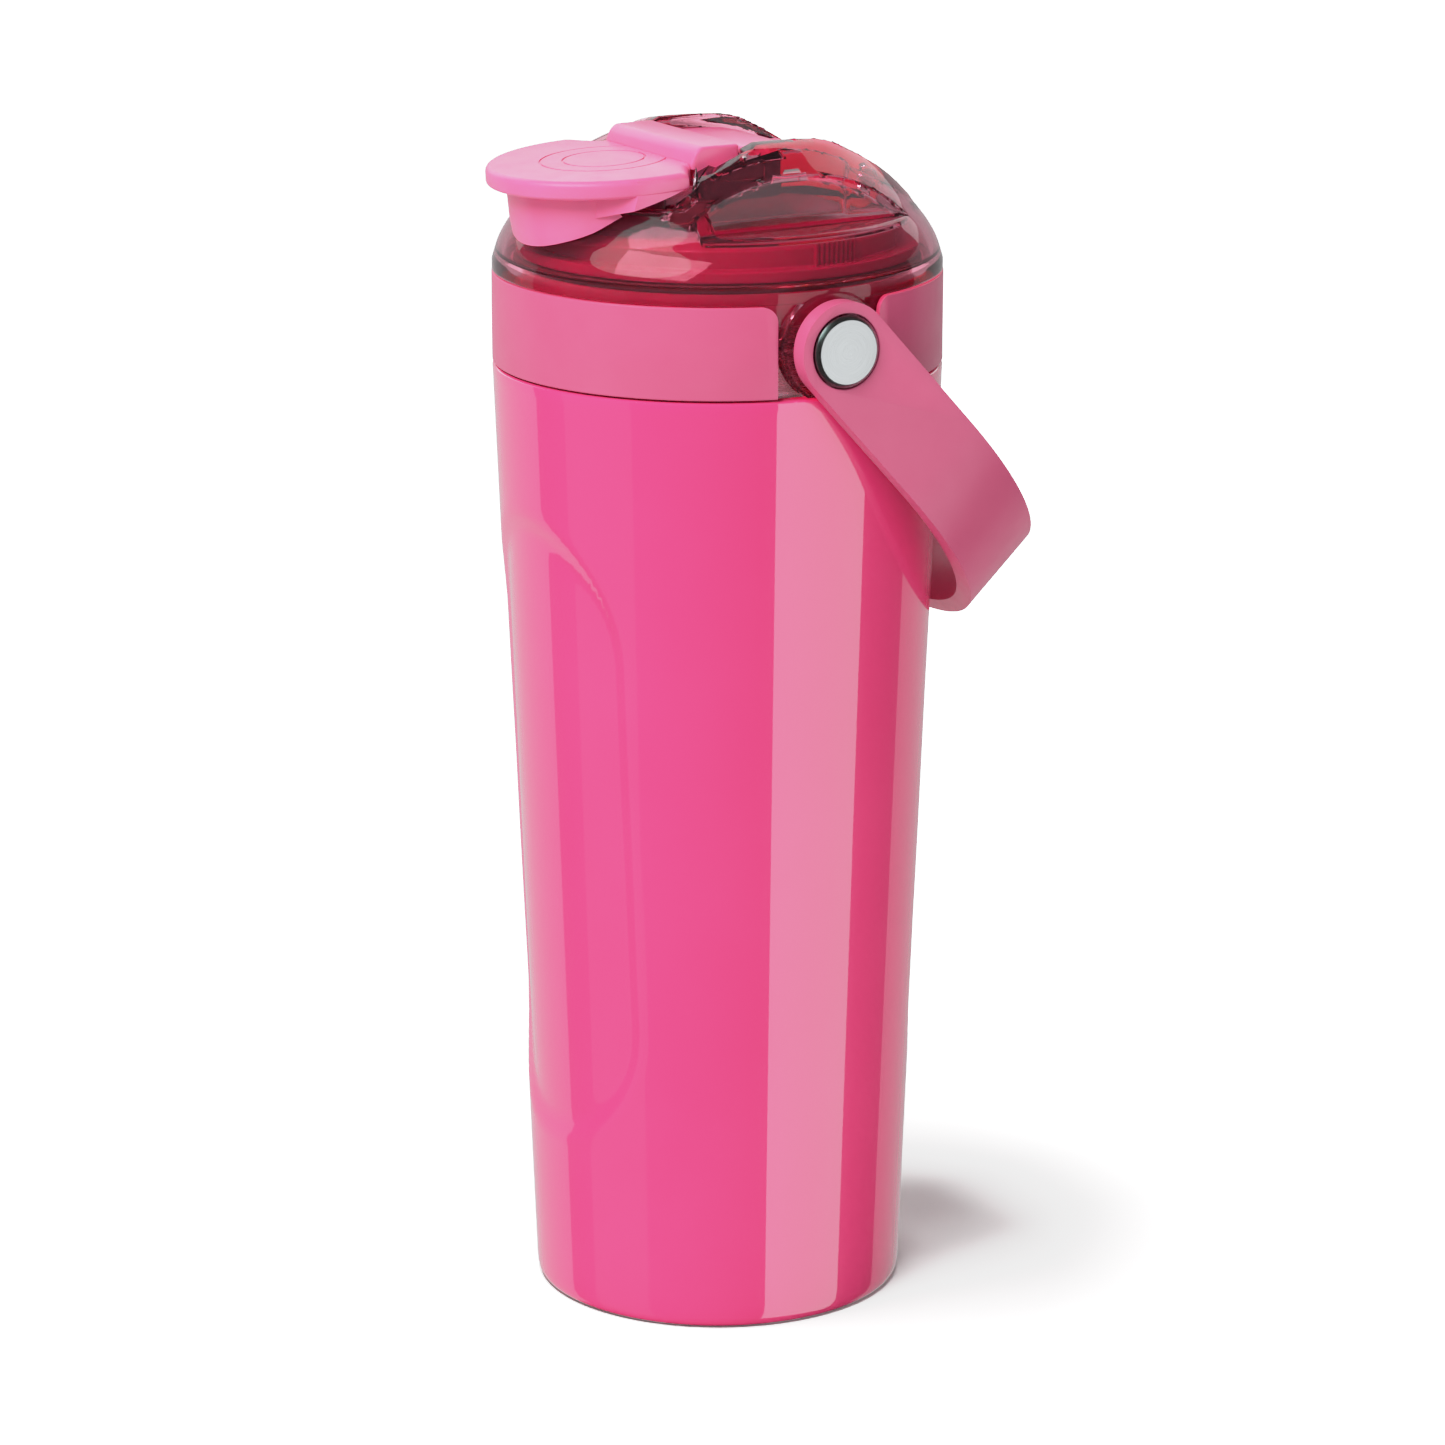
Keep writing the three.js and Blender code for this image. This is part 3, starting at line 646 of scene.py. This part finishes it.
def recess_depth(co):
    """How far a point of the wall is pressed in: a pill shape with a soft edge."""
    x, y, z = co / MM
    across_wall = math.atan2(abs(x), abs(y)) * math.hypot(x, y)
    low, high = RECESS_LOW + RECESS_HALF, RECESS_HIGH - RECESS_HALF
    away = math.hypot(across_wall, z - min(max(z, low), high))
    return RECESS_DEPTH * (1 - smooth_step(away, RECESS_HALF - RECESS_EDGE, RECESS_HALF)) * MM


def press_recesses(shape):
    for v in shape.verts:
        radius = math.hypot(v.co.x, v.co.y)
        if radius > 0.01:
            shrink = 1 - recess_depth(v.co) / radius
            v.co.x, v.co.y = v.co.x * shrink, v.co.y * shrink
    return shape


# %% Painted body
body_profile = [(33, 0), (35.0, 0), (35.9, 0.12), (36.6, 0.5), (36.98, 1.1), (37.15, 1.9)]
body_profile += wall(0, FOOT, SEAM - 0.8, 110)
body_profile += [(TOP_RADIUS - 0.12, SEAM - 0.35), (TOP_RADIUS - 0.4, SEAM - 0.1),
                 (TOP_RADIUS - 0.8, SEAM), (38.7, SEAM), (38.7, SEAM - STEEL)]
body_profile += wall(STEEL, FOOT, SEAM - STEEL - 0.4, 60)[::-1]
body_profile += [(35.8, STEEL + 0.3), (33, STEEL)]
painted_body = press_recesses(spun(body_profile, 240))
piece("painted_body", painted_body, gloss_paint, "bottle", ["outer_shell"])

# %% [markdown]
# ## Base disc
# A bare steel disc closes the foot. It is stamped with shallow rings, which stiffen it and
# leave a flat rim for the bottle to stand on.

# %% Base disc
base_profile = [(0, 0.9), (8, 0.9), (9, 0.45), (19, 0.45), (20, 0.9), (25, 0.9), (26.5, 0), (32.7, 0),
                (32.7, 0.9), (28, 0.9), (26, 1.7), (0, 1.7)]
piece("base_disc", rounded(spun(base_profile), 0.3, 20), base_steel, "bottle",
      ["base_plate"])

# %% [markdown]
# ## Inner cup and thread
# The inner wall is a cup whose neck stands up through the painted shoulder. Its thread is
# two ridges that climb 8 mm a turn. Spin makes a helix when it is given a dvec, a step to
# take along the axis for each step that it turns.

# %% Thread ridges
LEAD, SWEEP = 8, 270


def ridge(section, base, start_bearing):
    """A ridge of a given section that climbs round Z, with closed ends."""
    shape, steps = bmesh.new(), 90
    points = [shape.verts.new((r * MM, 0, (base + h) * MM)) for r, h in section]
    face = shape.faces.new(points)
    turned(shape, math.radians(start_bearing), "Z")
    bmesh.ops.spin(shape, geom=[face] + points + list(face.edges), cent=(0, 0, 0), axis=(0, 0, 1),
                   dvec=(0, 0, LEAD * MM * SWEEP / 360 / steps), angle=math.radians(SWEEP),
                   steps=steps, use_merge=False, use_duplicate=False)
    bmesh.ops.holes_fill(shape, edges=[e for e in shape.edges if e.is_boundary], sides=0)
    bmesh.ops.recalc_face_normals(shape, faces=shape.faces)
    return shape


def two_ridges(section, base):
    return [ridge(section, base, start) for start in (0, 180)]


print("thread: two starts,", LEAD, "mm a turn, each", SWEEP, "degrees long")

# %% Inner cup
NECK, RIM = 38.4, 209.3
GAP = 2.4
cup_wall = wall(STEEL + GAP, 12, 182, 12)
cup_profile = [(0, 4.4), (28, 4.4), (32.4, 7)] + cup_wall
cup_profile += [(NECK, 187), (NECK, RIM), (NECK - 1, RIM), (NECK - 1, 187.4)]
cup_profile += [(r - STEEL, z) for r, z in cup_wall][::-1] + [(31.6, 7.6), (27.6, 5.3), (0, 5.3)]
neck_section = [(NECK - 0.5, -1.2), (NECK + 1.1, -0.45), (NECK + 1.1, 0.45), (NECK - 0.5, 1.2)]
inner_cup = joined(rounded(spun(cup_profile), 0.35, 25), *two_ridges(neck_section, 194.6))
piece("inner_cup", inner_cup, steel, "bottle", ["inner_liner"])

# %% [markdown]
# ## Clear lid
# The lid is a moulded dome with a lower skirt that carries the thread. A slot across its top
# holds the cap's arm, and the walls on both sides of the slot stand up as ears. On each side
# the dome is cut back to a step, an upright wall that curves into a flat shelf. The lid is
# made from a turned dome, cut by cut, as the mould's cores would shape it.

# %% Dome
LID_BOTTOM, LID_INNER, LID_WALL, COLLAR_TOP = 191, 40.4, 43, 208.9
SHOULDER, SHOULDER_Z = 44.4, 209.2
DOME = [(SHOULDER, 211), (43.2, 214.7), (41.5, 217.8), (39.3, 220.7), (36.6, 224.4), (32.3, 228.8),
        (26.6, 233), (21.2, 236), (10, 236.6), (0, 236.8)]


def flowing(points, fine=5):
    """A smooth line through the points, by Catmull-Rom between each two of them."""
    line = [Vector(p) for p in points]
    ends = [2 * line[0] - line[1]] + line + [2 * line[-1] - line[-2]]
    out = []
    for a, b, c, d in zip(ends, ends[1:], ends[2:], ends[3:]):
        for i in range(fine):
            t = i / fine
            out.append((2 * b + (c - a) * t + (2 * a - 5 * b + 4 * c - d) * t * t
                        + (3 * b - a - 3 * c + d) * t ** 3) / 2)
    return [tuple(p) for p in out + [line[-1]]]


def inset(points, distance):
    """The line moved inwards by a distance."""
    out = []
    for i, (r, z) in enumerate(points):
        before, after = points[max(i - 1, 0)], points[min(i + 1, len(points) - 1)]
        along = (Vector(after) - Vector(before)).normalized()
        out.append((max(r - along.y * distance, 0), z + along.x * distance))
    return out


def dome(distance, radius):
    """The turned solid of the dome, moved in by a distance, on a skirt of the given radius."""
    line = inset(flowing(DOME), distance)
    line[-1] = (0, line[-1][1])
    skirt = [(0, LID_BOTTOM), (radius, LID_BOTTOM), (radius, SHOULDER_Z), (SHOULDER - distance, SHOULDER_Z)]
    return spun(skirt + line)


print("dome: from", SHOULDER, "mm out at the shoulder to", DOME[-1][1], "mm high")

# %% Where things are on the lid
SLOT_HALF, SLOT_FLOOR = 18, 221.1
BESIDE_LID, ABOVE_LID = 60, 245
STEP_X, STEP_FRONT, STEP_Z, STEP_CURVE = 29.3, -19, 221.3, 2.5
HINGE_Y, HINGE_Z, PIN, PIN_GAP = 21, 226.1, 1.6, 0.3
SPOUT_Y = -22
LUG_FRONT, LUG_REAR, LUG_REACH, LUG_TOP, LOCK_TRAVEL, LEG_FOOT = -11.5, -8, 20.3, 231.4, 5.5, 229.2
BOSS, BOSS_OUT = 10.8, 44.7
print("slot", 2 * SLOT_HALF, "mm wide, hinge", HINGE_Y, "mm behind the middle")


# %% Steps in the dome's sides
def side_steps(grow):
    """What the steps take away: on each side a block whose lower inner edge is rounded."""
    steps = both_sides((STEP_X - grow, BESIDE_LID), (STEP_FRONT - grow, BESIDE_LID),
                       (STEP_Z - grow, ABOVE_LID))
    for step in steps:
        inner = [e for e in step.edges if abs(e.verts[0].co.y - e.verts[1].co.y) > 0.1
                 and all(v.co.z < 0.23 and abs(v.co.x) < 0.05 for v in e.verts)]
        bevelled(step, inner, STEP_CURVE + grow, 10)
    return steps


DOME_THICK, STEP_THICK = 2.2, 1.5
throat = spun([(LID_INNER, 185), (BESIDE_LID, 185), (BESIDE_LID, 212), (LID_INNER, 212)])
hollow = cut(cut(dome(DOME_THICK, LID_INNER), *side_steps(STEP_THICK)), throat)
print("hollow:", len(hollow.faces), "faces")

# %% [markdown]
# The cap's plate lies in a pocket cut across the front of the lid. The pocket is the plate's
# own outline, a disc whose rear narrows to fit between the ears, grown by a small gap. One
# helper makes that outline for both, so the cap always fits its pocket.

# %% Outline of the cap's plate
PLATE_Y, PLATE_RADIUS, PLATE_REAR, CAP_HALF = -23.8, 24.4, -13, 17.5
SHOULDER_SLOPE, SHOULDER_X, SHOULDER_Y = math.tan(math.radians(30)), 24.1, 3.8


def plate_outline(*layers):
    """The plate's outline as a solid, through layers of (grow, height). Each point of a circle is
    pulled in as far as the sloped shoulders, the straight sides and the rear edge ask."""
    shape = bmesh.new()
    rings = []
    for grow, height in layers:
        ring = bmesh.ops.create_circle(shape, radius=(PLATE_RADIUS + grow) * MM, segments=240)["verts"]
        half, rear = CAP_HALF + grow, PLATE_REAR - PLATE_Y + grow
        reach = SHOULDER_Y + grow + (SHOULDER_X + grow) * SHOULDER_SLOPE
        for v in ring:
            x, y = abs(v.co.x) / MM, v.co.y / MM
            if y > 0.5:
                v.co *= min(1, rear / y, max(reach / (y + x * SHOULDER_SLOPE), half / max(x, 0.1)))
            v.co.z = height * MM
        rings.append([e for e in shape.edges if e.verts[0] in ring and e.verts[1] in ring])
    for low, high in zip(rings, rings[1:]):
        bmesh.ops.bridge_loops(shape, edges=low + high)
    bmesh.ops.holes_fill(shape, edges=rings[0] + rings[-1], sides=0)
    bmesh.ops.recalc_face_normals(shape, faces=shape.faces)
    return moved(shape, y=PLATE_Y)


print("plate:", 2 * PLATE_RADIUS, "mm across and", 2 * CAP_HALF, "mm between the ears")

# %% [markdown]
# The ears are walls inside the dome's own outline: blocks stand where the slot's sides, the
# lock's lugs and the hinge pin need them, and what they have in common with the dome stays.

# %% Ears
EAR_FOOT = SLOT_HALF - 1
slot_walls = both_sides((EAR_FOOT, SLOT_HALF + 2.4), (-22, 40), (SLOT_FLOOR, ABOVE_LID))
lug_walls = both_sides((EAR_FOOT, LUG_REACH + 2.6), (LUG_FRONT - 2.6, 1), (LUG_TOP - 5, ABOVE_LID))
pin_walls = both_sides((EAR_FOOT, SLOT_HALF + 4.4), (HINGE_Y - 5, HINGE_Y + 5), (SLOT_FLOOR, ABOVE_LID))
ears = combined(joined(*slot_walls, *lug_walls, *pin_walls), "INTERSECT", dome(0, LID_WALL))
print("ears:", len(ears.faces), "faces")

# %% [markdown]
# The outer dome gets a boss on each side for the handle's pivot. Then its inside is taken
# out, which leaves a thin wall, and the ears are set in.

# %% Dome with bosses and ears
boss_profile = [(0, 41.4), (BOSS, 41.4), (BOSS, BOSS_OUT - 0.5), (BOSS - 0.5, BOSS_OUT), (0, BOSS_OUT)]
bosses = [moved(turned_to_x(spun(boss_profile, 96), side), z=PIVOT_Z) for side in (-1, 1)]
below_lid = block((-BESIDE_LID, BESIDE_LID), (-BESIDE_LID, BESIDE_LID), (180, LID_BOTTOM))
lid_shape = joined(dome(0, LID_WALL), *bosses)
lid_shape = cut(lid_shape, hollow, post(LID_INNER, 180, 200), below_lid)
lid_shape = joined(lid_shape, ears)
print("dome with ears:", len(lid_shape.faces), "faces")

# %% [markdown]
# What the lid still loses: the two steps, all that is above a slope which falls to the
# front, the slot, the slide and the pocket of each lug, the plate's pocket, the hole round
# the spout, and the bores for the hinge pin and the pivot screws.

# %% Slope, slot, pockets and bores
above_slope = turned(block((-BESIDE_LID, BESIDE_LID), (0, 80), (0, 40)), 0.375, "X")
moved(above_slope, y=-22.2, z=228.7)
slot = block((-SLOT_HALF, SLOT_HALF), (SPOUT_Y, BESIDE_LID), (SLOT_FLOOR, ABOVE_LID))
LUG_GAP, SPOUT_HOLE = 0.4, 17.5
lug_side = (EAR_FOOT, LUG_REACH + LUG_GAP)
lug_slides = both_sides(lug_side, (LUG_FRONT - 0.5, -5.9), (LEG_FOOT - LUG_GAP, ABOVE_LID))
lug_pockets = both_sides(lug_side, (-6.9, LUG_REAR + LOCK_TRAVEL + 0.9),
                         (LEG_FOOT - LUG_GAP, LUG_TOP + LUG_GAP))
plate_pocket = plate_outline((0.6, 225.6), (0.6, ABOVE_LID))
pin_bore = bar_along_x(PIN + PIN_GAP, 20.3, HINGE_Y, HINGE_Z)
screw_bores = [moved(turned_to_x(spun([(0, 41.4), (3.3, 41.4), (3.3, 50), (0, 50)], 48), side), z=PIVOT_Z)
               for side in (-1, 1)]
lid_shape = cut(lid_shape, *side_steps(0), above_slope, slot, *lug_slides, *lug_pockets, plate_pocket,
                post(SPOUT_HOLE, 205, ABOVE_LID, SPOUT_Y), pin_bore, *screw_bores)
print("lid after the cuts:", len(lid_shape.faces), "faces")

# %% [markdown]
# At last every edge of the dome gets a small round, because those rounds catch the light and
# draw the bright lines of clear plastic. A live Bevel modifier does it, limited by weight:
# only the sharp edges above the bosses have one, so that nothing is rounded where the bosses
# and the thread crowd together. Its overlap clamp is off, because the shortest edge would
# otherwise shrink all the rounds. That has a price: in the tight corners of the ears and of
# the plate's pocket the rounds cross one another, and a few points stick out.

# %% Thread and edge rounds
lid_section = [(LID_INNER + 0.5, -1.2), (LID_INNER - 1.4, -0.45), (LID_INNER - 1.4, 0.45),
               (LID_INNER + 0.5, 1.2)]
lid_shape = joined(lid_shape, *two_ridges(lid_section, 196.6))
clear_lid = piece("clear_lid", lid_shape, clear_crimson, "lid", ["lid_shell"])
lid_mesh = clear_lid.data
weights = lid_mesh.attributes.new("bevel_weight_edge", "FLOAT", "EDGE")
for edge, weight in zip(lid_mesh.edges, weights.data):
    lowest = min(lid_mesh.vertices[v].co.z for v in edge.vertices) / MM
    weight.value = float(edge.use_edge_sharp and lowest > PIVOT_Z + BOSS + 0.1)
edge_round = clear_lid.modifiers.new("edge_round", "BEVEL")
edge_round.width, edge_round.segments, edge_round.limit_method = 0.6 * MM, 3, "WEIGHT"
edge_round.use_clamp_overlap = False
print("rounded edges:", sum(weight.value > 0 for weight in weights.data))

# %% [markdown]
# ## Inside of the lid
# Under the dome sits a crimson plug. It goes down into the neck, its flange presses the
# gasket on the rim, and a spout stands on it under the cap. Rows of small ribs on its sides
# give the machine that assembles the lid something to grip. A thin crimson sleeve stands
# round the gasket, inside the skirt, and hides the bare steel of the neck.

# %% Plug, spout and ribs
PLUG_TOP, SPOUT_OUTER, SPOUT_INNER, SPOUT_RIM = 219.4, 9.2, 7, 226.3
plug_profile = [(0, 217.2), (33.4, 217.2), (33.8, 203), (36.9, 203), (36.9, 212.5), (39.4, 212.5),
                (39.4, 214.6), (36, 214.6), (36, 217.8), (34.6, PLUG_TOP), (0, PLUG_TOP)]
plug = rounded(spun(plug_profile), 0.3, 25)
spout = spun([(0, 218), (SPOUT_OUTER, 218), (SPOUT_OUTER, SPOUT_RIM), (0, SPOUT_RIM)], 96)
plug = joined(plug, moved(rounded(spout, 0.5), y=SPOUT_Y))
rib_bearings = [side + 1 + 1.75 * number for side in (0, 180) for number in range(9)]
ribs = [turned(block((34, 36.9), (-0.24, 0.24), (214.4, 219)), math.radians(bearing), "Z")
        for bearing in rib_bearings]
plug = cut(joined(plug, *ribs), post(SPOUT_INNER, 210, 240, SPOUT_Y, 96))
piece("lid_plug", plug, crimson_plastic, "lid", ["lid_core"])

# %% Sleeve and gasket
sleeve = rounded(spun([(39.75, 204.6), (40.3, 204.6), (40.3, 210.6), (39.75, 210.6)]), 0.12, 30, 2)
piece("neck_sleeve", sleeve, crimson_plastic, "lid")
gasket_profile = [(37.3, 209.6), (38.9, 209.6), (39.2, 210.8), (40, 211), (40, 211.9), (39.6, 212.2),
                  (37.3, 212.2)]
piece("gasket_ring", rounded(spun(gasket_profile), 0.3, 20), silicone, "seal_carrier",
      ["lid_gasket"])

# %% [markdown]
# ## Collar
# A satin pink band clips round the lower half of the lid, in two halves. Between them, over
# each pivot, is a window. The band is turned, the windows are cut out, the corners next to
# them are rounded in a wide curve and every edge gets a small one.

# %% Collar halves
COLLAR_INNER, WINDOW_HALF, CORNER = 43.3, 11.2, 3


def near_window(co):
    on_its_side = abs(abs(co.y) - WINDOW_HALF) < 0.05
    return on_its_side or (co.z > COLLAR_TOP - CORNER - 0.1 and abs(co.y) < WINDOW_HALF + CORNER)


def collar_half(front):
    band = spun([(COLLAR_INNER, LID_BOTTOM), (TOP_RADIUS, LID_BOTTOM), (TOP_RADIUS, COLLAR_TOP),
                 (COLLAR_INNER, COLLAR_TOP)], 240)
    keep = block((-60, 60), (WINDOW_HALF, 60), (LID_BOTTOM - 1, COLLAR_TOP + 1))
    corners = [e for e in keep.edges if abs(e.verts[0].co.x - e.verts[1].co.x) > 0.1
               and min(v.co.z for v in e.verts) > 0.2 and max(v.co.y for v in e.verts) < 0.02]
    bmesh.ops.translate(keep, vec=(0, 0, -MM), verts=[v for v in keep.verts if v.co.z > 0.2])
    bevelled(keep, corners, CORNER, 10)
    if front:
        bmesh.ops.scale(keep, vec=(1, -1, 1), verts=keep.verts)
        bmesh.ops.reverse_faces(keep, faces=keep.faces)
    half = combined(rounded(band, 0.35, 30, 4), "INTERSECT", keep)
    return rounded(half, 0.3, 50, 2, near_window)


for name, front in (("front", True), ("back", False)):
    piece("collar_band_" + name, collar_half(front), satin_pink, "lid", ["collar_" + name])

# %% [markdown]
# ## Flip cap
# The cap is a disc on a skirt that covers the spout. Behind it an arm runs back between the
# lid's ears to a hinge pin. The parts are made one by one and then joined. The plate has soft
# rounds, a large one on top and a small one below, which are layers of its outline pulled in
# along a quarter circle. A pair of thin rings is engraved in the top, and then the plate tilts
# a little about the line where the lock's bar meets it.

# %% Plate
PLATE_THICK, PLATE_TOP, TILT, HUMP_FRONT, HUMP_REAR = 3.6, 232.9, 0.06, -15.6, -5
TOP_ROUND, FOOT_ROUND = 1.3, 0.7
GROOVE_WIDE, GROOVE_DEEP, GROOVES_Y = 0.4, 0.22, PLATE_Y - 1.5


def quarter(radius, steps):
    """Points round a quarter circle, as (in from the side, in from the face)."""
    turns = [math.pi / 2 * i / steps for i in range(steps + 1)]
    return [(radius * (1 - math.cos(a)), radius * (1 - math.sin(a))) for a in turns]


layers = [(-side, -PLATE_THICK + face) for side, face in quarter(FOOT_ROUND, 4)[::-1]]
layers += [(-side, -face) for side, face in quarter(TOP_ROUND, 7)]
plate = plate_outline(*layers)
for radius in (12.6, 8.2):
    groove = cut(post(radius, -GROOVE_DEEP, 1, GROOVES_Y), post(radius - GROOVE_WIDE, -2, 2, GROOVES_Y))
    plate = cut(plate, groove)
turned(moved(plate, y=-HUMP_FRONT), TILT, "X")
moved(plate, y=HUMP_FRONT, z=PLATE_TOP)
print("plate:", len(plate.faces), "faces")

# %% [markdown]
# The skirt is turned about the spout and cut off by a slope at the back and by the dome that
# it stands on. A wing under the plate widens the skirt towards the ears: it has the plate's
# outline too, with a slanted underside, and its front corners are cut away.

# %% Skirt and wing
skirt = spun([(20, 215), (20.7, 218), (21.3, 221), (21.8, 226), (21.9, 228.2), (22.4, 229.3), (23, 230.4),
              (17, 230.4), (19.6, 226), (19.5, 221), (18.2, 215)], 160)
behind_skirt = moved(turned(block((-40, 40), (0, 80), (-80, 0)), 0.72, "X"), y=-32.1, z=224.8)
skirt = cut(moved(skirt, y=SPOUT_Y), behind_skirt, dome(-0.4, 44.8))

CORNER_X, WING_FRONT, CORNER_TURN = 16.9, -36, 0.70
wing = plate_outline((-1.0, 222), (-0.12, 228.2), (-0.12, 231.6))
below_wing = moved(turned(block((-40, 40), (-60, 60), (-20, 0)), 0.33, "X"), y=-33.1, z=225.1)
corners = [moved(turned(corner, side * CORNER_TURN, "Z"), side * CORNER_X, WING_FRONT)
           for side, corner in zip((1, -1), both_sides((0, 40), (-40, 0), (200, 250)))]
before_wing = block((-40, 40), (-60, WING_FRONT), (200, 250))
wing = cut(wing, below_wing, *corners, before_wing, post(17.2, 200, 250, SPOUT_Y))
print("skirt and wing:", len(skirt.faces), "and", len(wing.faces), "faces")

# %% [markdown]
# The arm is one outline seen from the side, drawn out to the width between the ears. Its end
# is round, about the hinge pin, and its back flows down in one curve.

# %% Arm and rail
RAIL_HALF, RAIL_LOW, RAIL_TOP, ARM_END = 14.8, 228.2, 231.5, 4.6
tunnel = (HUMP_FRONT - 0.3, HUMP_REAR + LOCK_TRAVEL + 0.3)
rail = block((-RAIL_HALF, RAIL_HALF), (-17, tunnel[1] + 1), (RAIL_LOW, RAIL_TOP))
end_turns = [math.radians(-90 + 155 * i / 14) for i in range(1, 15)]
arm_side = [(tunnel[1], RAIL_LOW), (HINGE_Y, HINGE_Z - ARM_END)]
arm_side += [(HINGE_Y + ARM_END * math.cos(a), HINGE_Z + ARM_END * math.sin(a)) for a in end_turns]
arm_side += flowing([(20.6, 230.1), (16.3, 231.9), (12.6, 232.9), (9, 233.5), (tunnel[1], 233.7)], 4)
arm = rounded(across(arm_side, CAP_HALF), 0.6, 60, 3)
print("arm:", len(arm.faces), "faces")

# %% Flip cap
lock_space = block((-20, 20), tunnel, (RAIL_TOP, 240))
leg_spaces = both_sides((RAIL_HALF, 20), tunnel, (LEG_FOOT - 0.3, 240))
cap_shape = cut(joined(plate, skirt, wing), lock_space, *leg_spaces)
cap_shape = cut(joined(cap_shape, rail, arm), bar_along_x(PIN + PIN_GAP, 30, HINGE_Y, HINGE_Z))
piece("flip_cap_shell", cap_shape, cap_pink, "flip_cap", ["flip_cap"])

# %% [markdown]
# ## Sliding lock
# A raised bar lies across the arm, with a leg down each side of the rail. A lug on each leg
# slides into a pocket in the ear and holds the cap shut.

# %% Sliding lock
BAR_FOOT, BAR_TOP = 231.8, 236
bar_side = [(HUMP_FRONT, BAR_FOOT), (HUMP_REAR, BAR_FOOT), (HUMP_REAR, BAR_TOP), (HUMP_FRONT + 2.2, BAR_TOP),
            (HUMP_FRONT + 0.9, BAR_TOP - 1.1), (HUMP_FRONT, BAR_FOOT + 0.8)]
bar = rounded(across(bar_side, CAP_HALF), 0.7, 20, 4, lambda co: co.z > BAR_FOOT + 0.2)
legs = both_sides((15.2, CAP_HALF), (HUMP_FRONT + 1, HUMP_REAR), (LEG_FOOT, BAR_FOOT + 1))
lugs = both_sides((CAP_HALF - 1, LUG_REACH), (LUG_FRONT, LUG_REAR), (LEG_FOOT, LUG_TOP))
piece("lock_bar", joined(bar, *legs, *lugs), cap_pink, "lock", ["lock_slide"])

# %% [markdown]
# ## Handle
# The handle is one flat strap bent into a long U. Seen from above it is a bar with a round
# end, and a smaller bar of the same shape is cut out of it. The ends are rounded where they
# turn on the pivots, and all its edges are softened. It is modelled straight out and then
# swung down to where it hangs.

# %% Bent strap
OUTER, INNER, WIDTH, ARM, HANG = 49.6, 45.9, 19, 31, 47.4
PIVOT_BORE, BUTTON_SEAT, SEAT_FLOOR = 4.3, 7.3, 47.6


def strap(radius, half_width, low):
    """A bar with a straight part and a round end."""
    round_end = post(radius, -half_width, half_width, ARM, 200)
    return joined(round_end, block((-radius, radius), (low, ARM), (-half_width, half_width)))


eye_ends = joined(bar_along_x(WIDTH / 2, 70, 0, 0, 96), block((-70, 70), (0, 200), (-WIDTH / 2, WIDTH / 2)))
loop = cut(strap(OUTER, WIDTH / 2, -WIDTH / 2), strap(INNER, 20, -30))
loop = rounded(combined(loop, "INTERSECT", eye_ends), 1.05, 45, 5)
print("strap:", len(loop.faces), "faces")


# %% Handle
def on_seat_edge(co):
    return math.hypot(co.y, co.z) < BUTTON_SEAT + 0.05 and abs(co.x) > 49


for side in (-1, 1):
    bore = spun([(0, 40), (PIVOT_BORE, 40), (PIVOT_BORE, SEAT_FLOOR), (BUTTON_SEAT, SEAT_FLOOR),
                 (BUTTON_SEAT, 55), (0, 55)], 96)
    loop = cut(loop, turned_to_x(bore, side))
loop = turned(rounded(loop, 0.25, 50, 2, on_seat_edge), math.radians(-HANG), "X")
piece("strap_handle", moved(loop, z=PIVOT_Z), satin_pink, "handle", ["handle"])

# %% [markdown]
# ## Button caps
# A steel button hides each pivot screw. Its face is turned, so it is brushed in circles, and
# its edge has a wide bevel.

# %% Button caps
BUTTON_RADIUS, BUTTON_FACE = 7, 50.5
for side, name in ((1, "right"), (-1, "left")):
    button = spun([(0, 49), (BUTTON_RADIUS, 49), (BUTTON_RADIUS, BUTTON_FACE - 0.75),
                   (BUTTON_RADIUS - 0.8, BUTTON_FACE), (0, BUTTON_FACE)], 128)
    button = moved(turned_to_x(rounded(button, 0.12, 20, 2), side), z=PIVOT_Z)
    piece("button_" + name, button, pivot_steel, "lid", ["pivot_cap_" + name])

# %% [markdown]
# ## Mixing grid
# The white grid breaks up lumps of powder. It is three rings on thin spokes.

# %% Mixing grid
GRID_LOW, GRID_TOP, SPOKES = 203.4, 206.4, 12


def grid_ring(inner, outer):
    return rounded(spun([(inner, GRID_LOW), (outer, GRID_LOW), (outer, GRID_TOP), (inner, GRID_TOP)]), 0.3)


spokes = []
for number in range(SPOKES):
    start = 20.6 if number % 2 else 11
    spoke = block((start, 32.4), (-0.75, 0.75), (GRID_LOW + 0.4, GRID_TOP - 0.4))
    spokes.append(turned(spoke, 2 * math.pi * number / SPOKES, "Z"))
grid = joined(grid_ring(31.6, 33.2), grid_ring(20, 21.4), grid_ring(10, 11.6), *spokes)
piece("mixing_grid", grid, white_plastic, "agitator", ["agitator"])

# %% [markdown]
# ## Small fittings
# The screws, inserts, bushes, washers, the hinge pin, the getter and the spout seal are
# right as they come from the frame. They only need their finishes.

# %% Finishes for the small fittings
fittings = {steel: ["getter", "hinge_pin", "pivot_screw_right", "pivot_screw_left"],
            brass: ["pivot_insert_right", "pivot_insert_left"],
            white_plastic: ["pivot_washer_right", "pivot_washer_left", "pivot_bush_right", "pivot_bush_left"],
            silicone: ["spout_seal"]}
for material, names in fittings.items():
    for name in names:
        mesh = nodes[name].data
        mesh.materials.clear()
        mesh.materials.append(material)
        mesh.polygons.foreach_set("material_index", [0] * len(mesh.polygons))
    print(material.name, "on", len(names), "fittings")
